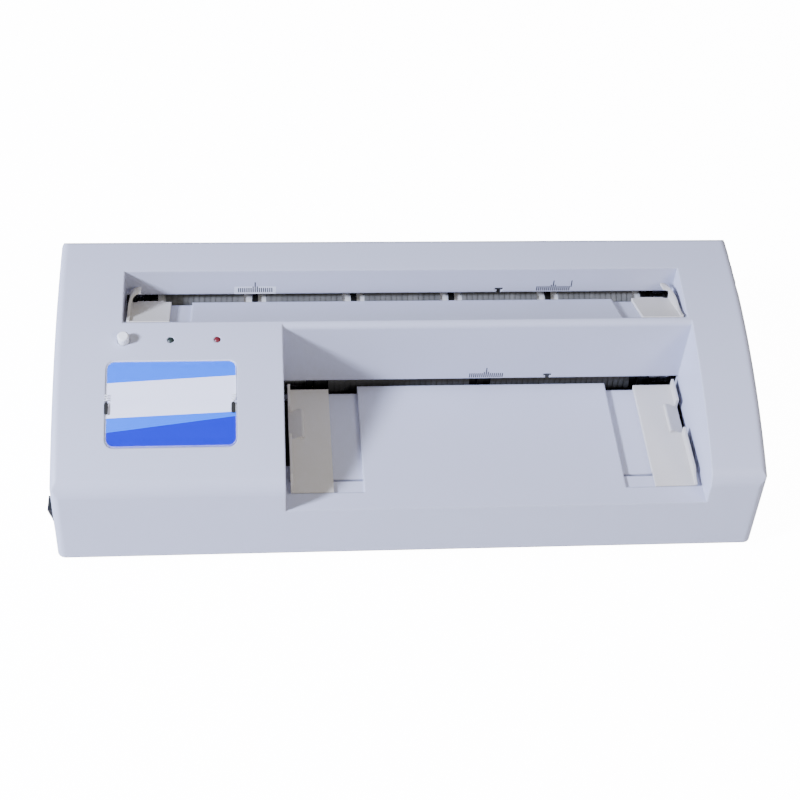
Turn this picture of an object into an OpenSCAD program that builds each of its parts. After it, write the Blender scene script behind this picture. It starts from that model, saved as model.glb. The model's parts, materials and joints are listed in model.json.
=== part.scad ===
// Business card slitter, a motor-driven desk machine that cuts printed sheets into cards.
// The upper throat slits a sheet into strips and the lower throat slits the strips into cards.
// X runs from left to right, Y from front to back and Z up. The origin lies on the tabletop,
// under the middle of the housing. Heights and depths below are measured from the housing's
// lower edge and from its front edge.

/* [Housing] */
// Width of the housing
housing_w = 366; // [362:1:390]
// Depth of the housing from its front edge to its back wall
housing_d = 150; // [148:0.5:160]
// Height of the crease between the front face and the crown
front_h = 48.5; // [46:0.5:54]
// Height of the crown at the back wall
back_h = 84; // [82:0.5:92]
// Rise of the crown's arc above its chord
crown_rise = 9.3; // [8:0.1:11]
// Backward lean of the front face, in degrees
front_lean = 5; // [3:0.5:7]
// Thickness of the moulded walls
wall = 2.5; // [2:0.1:2.8]
// Radius of the upright corners
corner_r = 4.5; // [4:0.5:9]
// Radius of the crown's side edges
edge_r = 4; // [3:0.5:6]
// Radius of the front crease
crease_r = 11; // [7:0.5:14]
// Radius of the crown's back edge
back_edge_r = 4; // [3:0.5:6]
// Thickness of the base tray
base_t = 2.6; // [2.2:0.1:3.5]
// Height of the base tray's rim above its floor
base_rim_h = 4; // [3:0.5:4.5]
// Thickness of that rim
base_rim_t = 1.6; // [1.2:0.1:1.8]
// Clearance between the base tray and the cover
base_gap = 0.3; // [0.2:0.05:0.5]
// Height of the feet below the housing
foot_h = 4; // [3:0.5:8]
// Radius of a foot
foot_r = 7.5; // [6:0.5:9]
// Radius of the pin that holds a foot in the base tray
foot_pin_r = 2.2; // [1.5:0.1:3]
// Inset of the feet from the housing's sides and ends
foot_inset = 24; // [22:1:32]
// Radius of the cover's screw posts
post_r = 3.8; // [3.2:0.1:4.2]
// Radius of a cover screw
cover_screw_r = 1.5; // [1:0.1:1.8]
// Distance of the front screw posts from the housing's sides
front_post_inset = 23; // [20:1:30]
// Distance of the rear screw posts from the housing's sides
rear_post_inset = 9; // [8.8:0.1:9.4]
// Depth at which the front screw posts stand
front_post_y = 11; // [10:0.5:13]
// Distance of the rear screw posts from the back wall
rear_post_back = 28; // [26.5:0.5:29.5]

/* [Lower throat] */
// Distance of the lower throat from the housing's left side
lower_left_inset = 117.3; // [115:0.1:120]
// Distance of the lower throat from the housing's right side
lower_right_inset = 29.9; // [29:0.1:32]
// Height of the lower table
table_h = 31.5; // [30:0.5:33]
// Thickness of the lower table
table_t = 5; // [4.5:0.1:6]
// Distance of the lower throat's back wall from the housing's back
lower_wall_back = 61.7; // [61:0.1:64]
// Height of the feed slot under the lower throat's back wall
lower_slot_h = 5.3; // [4.6:0.1:6.5]
// Radius of the lip at the top of that wall
lip_r = 3; // [2:0.1:3.2]

/* [Upper throat] */
// Distance of the upper throat from the housing's left side
upper_left_inset = 34.6; // [34:0.1:38]
// Distance of the upper throat from the housing's right side
upper_right_inset = 32; // [30:0.1:35]
// Width of the ridge between the throats
ridge_w = 3.2; // [3:0.1:4]
// Drop of the upper throat's floor from its front edge to its end
upper_drop = 12.2; // [11.5:0.1:13]
// Thickness of the upper throat's floor
upper_floor_t = 4; // [3.5:0.1:4.5]
// Distance of the upper throat's back wall from the housing's back
upper_wall_back = 24.3; // [24:0.1:26]
// Gap between the end of the floor and the upper throat's back wall
upper_slot_w = 6.9; // [6:0.1:8]
// Height of the back wall's lower edge above the sheet's path
upper_slot_h = 2.5; // [2.2:0.1:3]

/* [Rollers and cutters] */
// Distance of the outermost upper cutters from the throat's side walls
cutter_margin = 14.7; // [13:0.1:18]
// Number of upper cutters
cutter_n = 6; // [4:1:6]
// Distance of the outermost lower cutters from the throat's side walls
lower_cutter_margin = 19.4; // [14:0.1:24]
// Number of lower cutters
lower_cutter_n = 3; // [2:1:3]
// Radius of the roller shafts
shaft_r = 4; // [3:0.1:4.4]
// Depth by which facing cutter discs overlap
disc_overlap = 1.2; // [0.8:0.1:1.5]
// Thickness of a cutter disc
disc_t = 3.2; // [2.5:0.1:4]
// Gap between the cutting faces of facing discs
shear_gap = 0.3; // [0.3:0.02:0.4]
// Width of the collar on each side of an upper cutter
collar_w = 4.4; // [4:0.1:6]
// Gap between facing feed sleeves
nip_gap = 0.3; // [0.3:0.05:0.6]
// Gap between a disc and the collar that faces it
collar_gap = 0.5; // [0.4:0.05:0.8]
// Depth of the grooves round the feed sleeves
groove_d = 0.35; // [0.2:0.05:0.6]
// Distance between those grooves
groove_pitch = 3; // [2.5:0.1:6]
// Gap between the discs and the nearest throat wall
disc_clear = 1; // [0.7:0.1:1.5]
// Height of the lower nip above the table
lower_nip_h = 1.5; // [1:0.1:2]

/* [Frame and drive] */
// Thickness of the frame plates
plate_t = 2; // [1.5:0.1:2.5]
// Gap between a throat's side wall and the plate beside it
plate_gap = 1.4; // [1:0.1:2]
// Outer radius of a shaft bush
bush_r = 5.6; // [5:0.1:6]
// Radius of a bush's flange
bush_flange_r = 7.2; // [6.5:0.1:7.5]
// Thickness of a bush's flange
bush_flange_t = 1.5; // [1:0.1:2]
// Running clearance of the shafts and studs
run_gap = 0.05; // [0.03:0.01:0.08]
// Clearance of pressed and riveted fits
fit_gap = 0.02; // [0.01:0.005:0.04]
// Module of the gears
gear_module = 1; // [0.98:0.01:1.02]
// Teeth of the roller gears
roller_teeth = 16; // [15:1:16]
// Teeth of the compound gear's large wheel
wheel_teeth = 40; // [36:1:42]
// Teeth of the motor pinion
pinion_teeth = 12; // [12:1:16]
// Width of the gears
gear_w = 6; // [5:0.5:7]
// Side gap between neighbouring gears
gear_gap = 2; // [1.5:0.1:3]
// Play between meshing teeth along the pitch circle
backlash = 0.16; // [0.1:0.02:0.24]
// Pressure angle of the teeth, in degrees
pressure_angle = 25; // [23:0.5:26]
// Direction from the lower drive shaft to the compound gear, in degrees
compound_dir = 190; // [185:1:195]
// Direction from the compound gear to the motor, in degrees
motor_dir = 195; // [190:1:200]
// Radius of the gear studs
stud_r = 3; // [2.5:0.1:3.4]
// Radius of the motor
motor_r = 18; // [15:0.5:19]
// Length of the motor
motor_len = 56; // [45:1:60]
// Radius of the motor's shaft
motor_shaft_r = 2; // [1.5:0.1:2.4]
// Radius of the tie rod
tie_r = 3; // [2.5:0.1:4]
// Width of the frame plates' feet
flange_w = 9; // [8:0.5:10]
// Radius of the screws in the frame
frame_screw_r = 1.5; // [1.2:0.1:1.8]
// Thickness of the card chute
chute_t = 1.2; // [0.8:0.1:2]
// Height of the chute's upper edge
chute_h = 29.5; // [28:0.5:30.5]
// Slope of the chute, in degrees
chute_slope = 4; // [2:0.5:6]
// Lower edge of the card outlet in the back wall
outlet_low = 26.5; // [26:0.1:27]
// Upper edge of the card outlet
outlet_high = 53; // [50:0.5:56]
// Length of the outlet past the outermost cutter stations
outlet_side = 2.5; // [2:0.1:4]

/* [Paper guides] */
// Width of a lower guide
lower_guide_w = 22.2; // [20:0.2:23]
// Width of a lower guide's channel
lower_channel_w = 40.8; // [40:0.2:44]
// Depth of that channel
lower_channel_d = 2.3; // [2:0.1:2.6]
// Depth at which a lower guide begins
lower_guide_y = 14.3; // [12:0.1:16]
// Gap between the channel's rear edge and the throat's back wall
lower_rear_gap = 3.3; // [3:0.1:3.8]
// Depth at which the hook slot begins
hook_slot_y = 22.5; // [21:0.1:24]
// Width of the hook slot
hook_slot_w = 2.4; // [1.8:0.1:2.6]
// Height of a lower guide's fence
lower_fence_h = 4.5; // [3:0.1:7]
// Width of an upper guide
upper_guide_w = 22; // [20:0.5:22.5]
// Width of an upper guide's channel
upper_channel_w = 35.2; // [35:0.1:38]
// Depth of that channel
upper_channel_d = 1.6; // [1.3:0.1:1.8]
// Height of an upper guide's fence at its rear end
upper_fence_h = 8.6; // [7:0.1:9.5]
// Thickness of the fences
fence_t = 1.4; // [1:0.1:2]
// Space left between a lower guide and its throat's side wall
lower_guide_inset = 2.8; // [2.4:0.1:3]
// Space left between an upper guide and its throat's side wall
upper_guide_inset = 2; // [1.5:0.1:2.2]
// Thickness of the lower guides' rear legs
rear_leg_t = 0.9; // [0.8:0.1:1.2]
// Clearance round the guides
guide_gap = 0.2; // [0.15:0.05:0.3]
// Height of the guides' top faces above the tables
guide_proud = 0.4; // [0.2:0.1:0.8]

/* [Controls] */
// Distance of the button and the lamps in front of the upper throat
panel_gap = 10.5; // [9.5:0.1:12]
// Distance of the push button from the housing's left side
button_inset = 35.5; // [33:0.5:37]
// Distance between the button and the lamps
lamp_pitch = 24; // [20:0.5:26]
// Radius of the push button
button_r = 3; // [2.5:0.1:3.5]
// Height of the push button above the cover
button_h = 4.6; // [3.5:0.1:6]
// Travel of the push button
button_travel = 1; // [0.6:0.1:1.2]
// Radius of a lamp
lamp_r = 1.6; // [1.5:0.1:2.2]
// Clearance round the button and the lamps
control_gap = 0.2; // [0.15:0.05:0.3]
// Depth of the control board below the cover
board_drop = 10; // [9.5:0.1:11]
// Thickness of the control board
board_t = 1.6; // [1.2:0.1:2]
// Width of the label
label_w = 66.4; // [60:0.2:70]
// Distance of the label's middle from the housing's left side
label_inset = 60.2; // [56:0.2:64]
// Depth at which the label begins
label_front = 23.9; // [22:0.1:26]
// Distance of the label's rear edge in front of the button
label_gap = 11.7; // [10:0.1:14]
// Radius of the label's corners
label_corner_r = 4.5; // [3:0.5:7]
// Depth of the label's recess
label_recess = 1; // [0.8:0.1:1.2]
// Thickness of the printed card
label_card_t = 0.4; // [0.3:0.05:0.5]
// Height of the label's window above the cover
label_proud = 0.3; // [0.2:0.1:0.5]
// Depth of the rocker switch's middle
switch_y = 17; // [16:0.5:26]
// Height of the rocker switch's middle
switch_z = 16.5; // [16.5:0.5:30]
// Width of the rocker switch's bezel
switch_w = 15; // [14:0.5:17]
// Length of the rocker switch's bezel
switch_l = 21; // [20:0.5:24]
// Depth of the rocker switch behind the wall
switch_depth = 16; // [14:0.5:18]
// Swing of the rocker, in degrees
rocker_swing = 20; // [14:1:22]
// Distance of the power inlet's middle from the housing's left side
inlet_inset = 15.5; // [15:0.5:17]
// Height of the power inlet's middle
inlet_z = 20; // [19:0.5:22]
// Width of the power inlet's body
inlet_w = 20; // [18:0.5:21]
// Height of the power inlet's body
inlet_h = 27; // [25:0.5:28]
// Length of the power inlet's body
inlet_len = 21; // [18:0.5:24]
// Distance of the upper paper sensor from the upper throat's middle
upper_sensor_off = 52.4; // [48:0.1:56]
// Distance of the lower paper sensor from the lower throat's middle
lower_sensor_off = 35.8; // [30:0.1:40]

/* [Hidden] */
$fn = 48;

cover_grey = [0.80, 0.80, 0.85];
base_grey = [0.32, 0.32, 0.35];
guide_cream = [0.90, 0.88, 0.82];
steel = [0.72, 0.73, 0.75];
dark_steel = [0.13, 0.13, 0.14];
rubber_grey = [0.45, 0.45, 0.44];
gear_white = [0.90, 0.89, 0.84];
black_plastic = [0.06, 0.06, 0.07];

// A length that reaches past whatever a cut has to pass through
past = 1;
// A length longer than the whole housing
far = 600;

// Crown of the housing, an arc from the front crease to the back wall
front_corner = [front_h * tan(front_lean), front_h];
back_corner = [housing_d, back_h];
crown_chord = norm(back_corner - front_corner);
crown_r = crown_chord * crown_chord / (8 * crown_rise) + crown_rise / 2;
crown_up = [front_corner[1] - back_corner[1], back_corner[0] - front_corner[0]] / crown_chord;
crown_c = (front_corner + back_corner) / 2 - crown_up * (crown_r - crown_rise);
crown_fn = 360;
function crown_z(y) = crown_c[1] + sqrt(pow(crown_r, 2) - pow(y - crown_c[0], 2));
function crown_tilt(y) = asin((crown_c[0] - y) / crown_r);

// Sides of the throats
left_side = -housing_w / 2;
right_side = housing_w / 2;
lower_x0 = left_side + lower_left_inset;
lower_x1 = right_side - lower_right_inset;
upper_x0 = left_side + upper_left_inset;
upper_x1 = right_side - upper_right_inset;

// Floor of the upper throat: its front edge, its direction down the slope and its far end
lower_depth = housing_d - lower_wall_back;
floor_y = lower_depth + ridge_w;
floor_z = crown_z(floor_y);
upper_wall_y = housing_d - upper_wall_back;
floor_end_y = upper_wall_y - upper_slot_w;
floor_end_z = floor_z - upper_drop;
upper_slope = atan(upper_drop / (floor_end_y - floor_y));
floor_len = norm([floor_end_y - floor_y, upper_drop]);
upper_wall_z = floor_end_z - upper_slot_w * tan(upper_slope) + upper_slot_h;

// Row of controls, label and paper sensors
panel_y = floor_y - panel_gap;
button_x = left_side + button_inset;
label_x = left_side + label_inset;
label_y0 = label_front;
label_y1 = panel_y - label_gap;
upper_sensor_x = (upper_x0 + upper_x1) / 2 + upper_sensor_off;
lower_sensor_x = (lower_x0 + lower_x1) / 2 + lower_sensor_off;
lower_channel_end = lower_depth - lower_rear_gap;

// Roller pairs, as places in the Y-Z plane
pair_d = gear_module * roller_teeth;
roller_r = (pair_d - nip_gap) / 2;
disc_r = (pair_d + disc_overlap) / 2;
collar_r = pair_d - disc_r - collar_gap;
station_half = disc_t / 2 + collar_w;
lower_axis_y = lower_depth + wall + disc_clear + disc_r;
lower_drive = [lower_axis_y, table_h + lower_nip_h + pair_d / 2];
lower_idle = [lower_axis_y, table_h + lower_nip_h - pair_d / 2];
sheet_rise = 0.5;
slope_dir = [cos(upper_slope), -sin(upper_slope)];
slope_up = [sin(upper_slope), cos(upper_slope)];
upper_axis_y = upper_wall_y + wall + disc_clear + disc_r;
upper_reach = (upper_axis_y - floor_end_y - slope_up[0] * pair_d / 2) / slope_dir[0];
upper_nip = [floor_end_y, floor_end_z + sheet_rise] + slope_dir * upper_reach;
upper_drive = upper_nip + slope_up * pair_d / 2;
upper_idle = upper_nip - slope_up * pair_d / 2;
// Places of n cutters with equal steps between two margins
function stations(x0, x1, margin, n) = [
    for (i = [0 : n - 1]) x0 + margin + (x1 - x0 - 2 * margin) * i / (n - 1)
];
upper_stations = stations(upper_x0, upper_x1, cutter_margin, cutter_n);
lower_stations = stations(lower_x0, lower_x1, lower_cutter_margin, lower_cutter_n);
shaft_bore = shaft_r + fit_gap;
// Disc on a drive shaft, beside the idle disc that it cuts against
drive_disc_shift = disc_t + shear_gap;

// Frame plates, each by its left face
right_plate_x = max(lower_x1, upper_x1) + wall + plate_gap;
middle_plate_x = lower_x0 - wall - plate_gap - plate_t;
left_plate_x = upper_x0 - wall - plate_gap - plate_t;
base_top = base_t;
gear_start = bush_flange_t + gear_gap;
shaft_over = 1;
right_gear_x = right_plate_x + plate_t + gear_start;
left_gear_x = left_plate_x - gear_start - gear_w;
pair_gear_w = gear_w + 2;
pair_gear_x = middle_plate_x - gear_start - pair_gear_w;
shaft_right_x = right_gear_x + gear_w + shaft_over;
upper_shaft_left_x = left_gear_x - shaft_over;
lower_shaft_left_x = pair_gear_x - shaft_over;
wheel_x = pair_gear_x - 2 * gear_gap - gear_w;
gearbox_plate_x = wheel_x - gear_start - plate_t;

// Gear places. The transfer gear has the fewest even teeth that span both drive shafts.
function gear_r(teeth) = gear_module * teeth / 2;
function polar(r, a) = [r * cos(a), r * sin(a)];
function heading(v) = atan2(v[1], v[0]);
span = upper_drive - lower_drive;
transfer_slack = 1.2;
transfer_teeth = 2 * ceil((norm(span) / gear_module - roller_teeth + transfer_slack) / 2);
transfer_arm = gear_r(roller_teeth + transfer_teeth);
transfer_offset = sqrt(pow(transfer_arm, 2) - pow(norm(span) / 2, 2));
transfer = lower_drive + span / 2 + transfer_offset * [-span[1], span[0]] / norm(span);
compound = lower_drive + polar(pair_d, compound_dir);
motor = compound + polar(gear_r(wheel_teeth + pinion_teeth), motor_dir);

// Turn of a gear that meshes with a tooth of its neighbour
function mesh_turn(turn, teeth, dir, own_teeth) =
    dir + 180 - (turn - dir) * teeth / own_teeth + 180 / own_teeth;
lower_pair_turn = mesh_turn(0, roller_teeth, -90, roller_teeth);
compound_turn = mesh_turn(0, roller_teeth, compound_dir, roller_teeth);
pinion_turn = mesh_turn(compound_turn, wheel_teeth, motor_dir, pinion_teeth);
transfer_turn = mesh_turn(0, roller_teeth, heading(transfer - lower_drive), transfer_teeth);
upper_turn = mesh_turn(
    transfer_turn, transfer_teeth, heading(upper_drive - transfer), roller_teeth
);
upper_pair_turn = mesh_turn(0, roller_teeth, heading(upper_idle - upper_drive), roller_teeth);

// Places of the frame's smaller pieces
tie_back = 17;
tie_up = 12;
tie = [lower_axis_y + tie_back, base_top + tie_up];
tie_end_r = tie_r - 1;
spacer_r = 3;
spacer_end_r = spacer_r - 1.5;
spacer_far = gear_r(wheel_teeth) + 9;
spacer_dirs = [160, 250, 290];
spacers = [for (a = spacer_dirs) compound + polar(spacer_far, a)];
plate_top = spacers[0][1] + 6;
rivet_h = 0.5;
rivet_sink = 0.2;
bolt_head_h = 1.6;
bolt_head = 1.9;
frame_screw_bite = 2;
// Inner face of the base tray's rim at the back
inside_back = housing_d - wall - base_gap - base_rim_t;
plate_back = inside_back - 1;

// Moving things are drawn in the housing's own coordinates and set on the tabletop here
module placed() {
    translate([0, -housing_d / 2, foot_h]) children();
}

// A Y-Z outline drawn out along X
module along_x(x0, x1) {
    translate([x0, 0, 0]) rotate([90, 0, 90]) linear_extrude(x1 - x0) children();
}

// An X-Z outline drawn out along Y
module along_y(y0, y1) {
    translate([0, y1, 0]) rotate([90, 0, 0]) linear_extrude(y1 - y0) children();
}

// A round bar along X
module bar_x(p, r, x0, x1) {
    along_x(x0, x1) translate(p) circle(r);
}

// A box between two corners
module block(low, high) {
    translate(low) cube(high - low);
}

// Rectangle with two rounded corners on its far side, left wider by spare beside them
module rounded_end(half_w, y0, y1, r, spare) {
    dir = sign(y1 - y0);
    wide = half_w + spare;
    difference() {
        translate([-wide, min(y0, y1)]) square([2 * wide, abs(y1 - y0)]);
        for (side = [-1, 1]) {
            c = [side * (half_w - r), y1 - dir * r];
            rounding_cut(c, c + [side * r, 0], c + [0, dir * r], r);
        }
    }
}

module rounded_rect(w, h, r) {
    square([w - 2 * r, h], center = true);
    square([w, h - 2 * r], center = true);
    for (sx = [-1, 1], sy = [-1, 1]) translate([sx * (w / 2 - r), sy * (h / 2 - r)]) circle(r);
}

// Wide disc whose rim is the crown, with rounded side edges
module crown_disc(inset, grow = 0) {
    r = crown_r - inset + grow;
    half = housing_w / 2 - inset;
    round_r = max(edge_r - inset, 0.5);
    translate([0, crown_c[0], crown_c[1]]) rotate([0, 90, 0]) rotate_extrude($fn = crown_fn) {
        translate([0, round_r - half]) square([r, 2 * (half - round_r)]);
        translate([0, -half]) square([r - round_r, 2 * half]);
        for (side = [-1, 1]) translate([r - round_r, side * (half - round_r)]) circle(round_r);
    }
}

// Region outside a rounding that touches two faces at t1 and t2
module rounding_cut(c, t1, t2, r) {
    reach = 1.8;
    a = (t1 - c) * reach;
    b = (t2 - c) * reach;
    translate(c) difference() {
        polygon([[0, 0], a, a + b, b]);
        circle(r);
    }
}

// Everything above the front crease's rounding and the back edge's rounding
module edge_roundings(inset) {
    rim = crown_r - inset;
    front_dir = [sin(front_lean), cos(front_lean)];
    front_in = [cos(front_lean), -sin(front_lean)];
    r1 = crease_r - inset;
    from = front_in * crease_r - crown_c;
    run = -from * front_dir + sqrt(pow(from * front_dir, 2) - from * from + pow(rim - r1, 2));
    c1 = front_in * crease_r + front_dir * run;
    r2 = max(back_edge_r - inset, 0.5);
    back_y = housing_d - inset - r2;
    c2 = [back_y, crown_c[1] + sqrt(pow(rim - r2, 2) - pow(back_y - crown_c[0], 2))];
    along_x(-housing_w, housing_w) {
        rounding_cut(c1, c1 - front_in * r1, crown_c + (c1 - crown_c) * rim / (rim - r1), r1);
        rounding_cut(c2, crown_c + (c2 - crown_c) * rim / (rim - r2), c2 + [r2, 0], r2);
    }
}

// Upright walls of the housing, without its top
module upright(inset, z0, z1, spare = 0) {
    half = housing_w / 2 - inset;
    r = corner_r - inset;
    intersection() {
        rotate([-front_lean, 0, 0]) translate([0, 0, z0 - past - 2 * corner_r])
            linear_extrude(z1 - z0 + far) rounded_end(half, far, inset, r, spare);
        translate([0, 0, z0]) linear_extrude(z1 - z0)
            rounded_end(half, -far, housing_d - inset, r, spare);
    }
}

// The housing's outer form, or its hollow when inset by the wall
module envelope(inset, z0) {
    difference() {
        intersection() {
            crown_disc(inset);
            upright(inset, z0, back_h + crown_rise, past);
        }
        edge_roundings(inset);
    }
}

// A frame on the crown's surface, with Z along the surface's outward normal
module on_crown(x, y) {
    translate([x, y, crown_z(y)]) rotate([crown_tilt(y), 0, 0]) children();
}

// A frame on the upper throat's floor: X sideways, Y down the slope and Z off the floor
module on_floor() {
    translate([0, floor_y, floor_z]) rotate([-upper_slope, 0, 0]) children();
}

// Walls of the lower throat, before it is hollowed
module lower_throat_block() {
    along_x(lower_x0 - wall, lower_x1 + wall)
        translate([0, table_h - table_t]) square([lower_depth + wall, far]);
}

// Room inside the lower throat: the table, the rounded lip and the feed slot
module lower_throat_cut() {
    lip_y = lower_depth + lip_r;
    lip = [lip_y, crown_c[1] + sqrt(pow(crown_r - lip_r, 2) - pow(lip_y - crown_c[0], 2))];
    along_x(lower_x0, lower_x1) {
        translate([-far, table_h]) square([far + lower_depth, far]);
        translate([lower_depth, table_h - table_t - past])
            square([wall + past, table_t + past + lower_slot_h]);
        rounding_cut(lip, lip - [lip_r, 0], crown_c + (lip - crown_c) * crown_r / (crown_r - lip_r), lip_r);
    }
}

// Channel of a lower guide at the throat's left side
module lower_channel_cut() {
    side_gap = lower_guide_inset + fence_t - guide_gap;
    slot_end = hook_slot_y + hook_slot_w;
    lip_d = lower_channel_d / 2;
    low = table_h - table_t - past;
    block([0, slot_end, table_h - lower_channel_d], [lower_channel_w, lower_depth, table_h + past]);
    block([0, lower_guide_y - guide_gap, table_h - lip_d], [lower_channel_w, slot_end, table_h + past]);
    block([hook_slot_w, hook_slot_y, low], [lower_channel_w, slot_end, table_h]);
    block([0, lower_channel_end, low], [lower_channel_w, lower_depth + past, table_h]);
    block([0, slot_end + 4 * hook_slot_w, low], [side_gap, lower_channel_end - hook_slot_w, table_h]);
}

// Draws a left-hand thing at both sides of the lower throat
module lower_sides() {
    translate([lower_x0, 0, 0]) children();
    translate([lower_x1, 0, 0]) mirror([1, 0, 0]) children();
}

module upper_sides() {
    translate([upper_x0, 0, 0]) children();
    translate([upper_x1, 0, 0]) mirror([1, 0, 0]) children();
}

// Floor, back wall and side walls of the upper throat, before it is hollowed
module upper_throat_block() {
    side_drop = (upper_floor_t + 1) / cos(upper_slope);
    lap = wall / 2;
    side_outline = [
        [floor_y, far], [floor_y, floor_z - side_drop], [floor_end_y, floor_end_z - side_drop],
        [upper_wall_y + lap, upper_wall_z], [upper_wall_y + lap, far]
    ];
    on_floor() block([upper_x0 - lap, -ridge_w, -upper_floor_t], [upper_x1 + lap, floor_len, past]);
    block([upper_x0 - lap, upper_wall_y, upper_wall_z], [upper_x1 + lap, upper_wall_y + wall, far]);
    along_x(upper_x0 - wall, upper_x0) polygon(side_outline);
    along_x(upper_x1, upper_x1 + wall) polygon(side_outline);
}

// Room inside the upper throat, above the sheet's path down to the back wall
module upper_throat_cut() {
    above = slope_dir * -2 * ridge_w + [floor_y, floor_z];
    along_x(upper_x0, upper_x1) polygon([
        above, [upper_wall_y, upper_wall_z - upper_slot_h], [upper_wall_y, far], [above[0], far]
    ]);
}

// Channel of an upper guide at the throat's left side
module upper_channel_cut() {
    ledge = 0.6;
    sill = 1;
    on_floor() block([ledge, sill, -upper_channel_d], [upper_channel_w, floor_len + past, past]);
}

// Notch for a paper sensor, a bar above a stem, at a wall's lower edge
sensor_w = 4.2;
sensor_bar_h = 1.3;
sensor_stem_w = 2;
sensor_stem_h = 1.6;
sensor_fit = 0.1;
module sensor_outline(fit) {
    translate([-sensor_stem_w / 2 - fit, -past]) square([sensor_stem_w + 2 * fit, sensor_stem_h + past]);
    translate([-sensor_w / 2 - fit, sensor_stem_h - fit])
        square([sensor_w + 2 * fit, sensor_bar_h + 2 * fit]);
}

// A paper sensor's nose, set back in its wall
module sensor(x, y, z, reach) {
    set_back = 0.3;
    translate([x, y + wall + reach, z]) rotate([90, 0, 0]) linear_extrude(wall + reach - set_back)
        intersection() {
            sensor_outline(0);
            translate([-sensor_w, 0]) square(2 * sensor_w);
        }
}

module sensor_cut(x, y, z) {
    translate([x, y + wall + past, z]) rotate([90, 0, 0]) linear_extrude(wall + 2 * past)
        sensor_outline(sensor_fit);
}

// Screw posts of the cover, and the screws that enter them from below
post_places = [
    for (side = [-1, 1]) [side * (housing_w / 2 - front_post_inset), front_post_y],
    for (side = [-1, 1]) [side * (housing_w / 2 - rear_post_inset), housing_d - rear_post_back]
];
screw_len = 12;
screw_head_r = 1.9 * cover_screw_r;
screw_head_h = 1.2;

// Label recess in plan, shrunk all round by a gap
module label_plan(gap) {
    clip_r = 2;
    translate([label_x, (label_y0 + label_y1) / 2]) difference() {
        rounded_rect(label_w - 2 * gap, label_y1 - label_y0 - 2 * gap, label_corner_r - gap);
        if (gap > 0)
            for (side = [-1, 1]) translate([side * label_w / 2, 0]) circle(clip_r);
    }
}

// A layer between two heights relative to the crown, cut to the label's outline
module label_layer(low, high, gap) {
    intersection() {
        difference() {
            crown_disc(0, high);
            translate([0, crown_c[0], crown_c[1]]) rotate([0, 90, 0])
                cylinder(r = crown_r + low, h = far, center = true, $fn = crown_fn);
        }
        linear_extrude(back_h + crown_rise) label_plan(gap);
    }
}

// Rocker switch and power inlet openings
switch_cut_w = switch_w - 2;
switch_cut_l = switch_l - 2;
inlet_x = left_side + inlet_inset;
inlet_flange = 2;
inlet_flange_t = 1.2;
outlet_x0 = upper_stations[0] - outlet_side;
outlet_x1 = upper_stations[len(upper_stations) - 1] + outlet_side;

module top_cover() {
    fit = control_gap;
    color(cover_grey) placed() difference() {
        envelope(0, 0);
        difference() {
            envelope(wall, -past);
            lower_throat_block();
            upper_throat_block();
            for (p = post_places) translate([p[0], p[1], base_t + base_gap]) cylinder(r = post_r, h = far);
            board_posts();
        }
        union() {
            lower_throat_cut();
            lower_sides() lower_channel_cut();
        }
        union() {
            upper_throat_cut();
            upper_sides() upper_channel_cut();
        }
        sensor_cut(upper_sensor_x, upper_wall_y, upper_wall_z);
        sensor_cut(lower_sensor_x, lower_depth, table_h + lower_slot_h);
        for (p = post_places) translate([p[0], p[1], -past])
            cylinder(r = cover_screw_r + run_gap, h = screw_len + past);
        label_layer(-label_recess, past, 0);
        on_crown(button_x, panel_y) translate([0, 0, -wall - past])
            cylinder(r = button_r + fit, h = wall + 2 * past);
        for (i = [1, 2]) on_crown(button_x + i * lamp_pitch, panel_y) translate([0, 0, -wall - past])
            cylinder(r = lamp_r + fit, h = wall + 2 * past);
        translate([-housing_w / 2, switch_y, switch_z])
            cube([3 * wall, switch_cut_w + 2 * fit, switch_cut_l + 2 * fit], center = true);
        translate([inlet_x, housing_d, inlet_z])
            cube([inlet_w + 2 * fit, 3 * wall, inlet_h + 2 * fit], center = true);
        block([outlet_x0, housing_d - wall - past, outlet_low], [outlet_x1, housing_d + past, outlet_high]);
    }
}

// Floor of the housing, inside the cover's lower edge, with a rim and screw holes
module base_tray() {
    inset = wall + base_gap;
    color(base_grey) placed() difference() {
        upright(inset, 0, base_t + base_rim_h);
        upright(inset + base_rim_t, base_t, base_t + base_rim_h + past);
        for (p = post_places) {
            translate([p[0], p[1], base_t]) cylinder(r = post_r + base_gap, h = base_rim_h + past);
            translate([p[0], p[1], -past]) cylinder(r = cover_screw_r + run_gap, h = base_t + 2 * past);
            translate([p[0], p[1], -past]) cylinder(r = screw_head_r + base_gap, h = screw_head_h + past);
        }
        for (p = foot_places) translate([p[0], p[1], -past])
            cylinder(r = foot_pin_r + fit_gap, h = base_t + 2 * past);
        for (p = frame_screw_places) translate([p[0], p[1], base_t - frame_screw_bite])
            cylinder(r = frame_screw_r + fit_gap, h = frame_screw_bite + past);
        translate([inlet_x - inlet_w / 2 - inlet_flange, housing_d - 4 * wall, base_t])
            cube([inlet_w + 2 * inlet_flange, 4 * wall, base_rim_h + past]);
    }
}

foot_places = [
    for (sx = [-1, 1], y = [foot_inset, housing_d - foot_inset]) [sx * (housing_w / 2 - foot_inset), y]
];
module rubber_feet() {
    taper = 1;
    color(black_plastic) placed() for (p = foot_places) translate([p[0], p[1], 0]) rotate_extrude()
        polygon([
            [0, -foot_h], [foot_r - taper, -foot_h], [foot_r, -foot_h + taper], [foot_r, 0],
            [foot_pin_r, 0], [foot_pin_r, base_t], [0, base_t]
        ]);
}

module cover_screws() {
    color(steel) placed() for (p = post_places) translate([p[0], p[1], 0]) {
        cylinder(r = screw_head_r, h = screw_head_h);
        cylinder(r = cover_screw_r, h = screw_len);
    }
}

module label_card() {
    color([0.75, 0.85, 0.97]) placed() label_layer(-label_recess, label_card_t - label_recess, base_gap);
}

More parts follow.
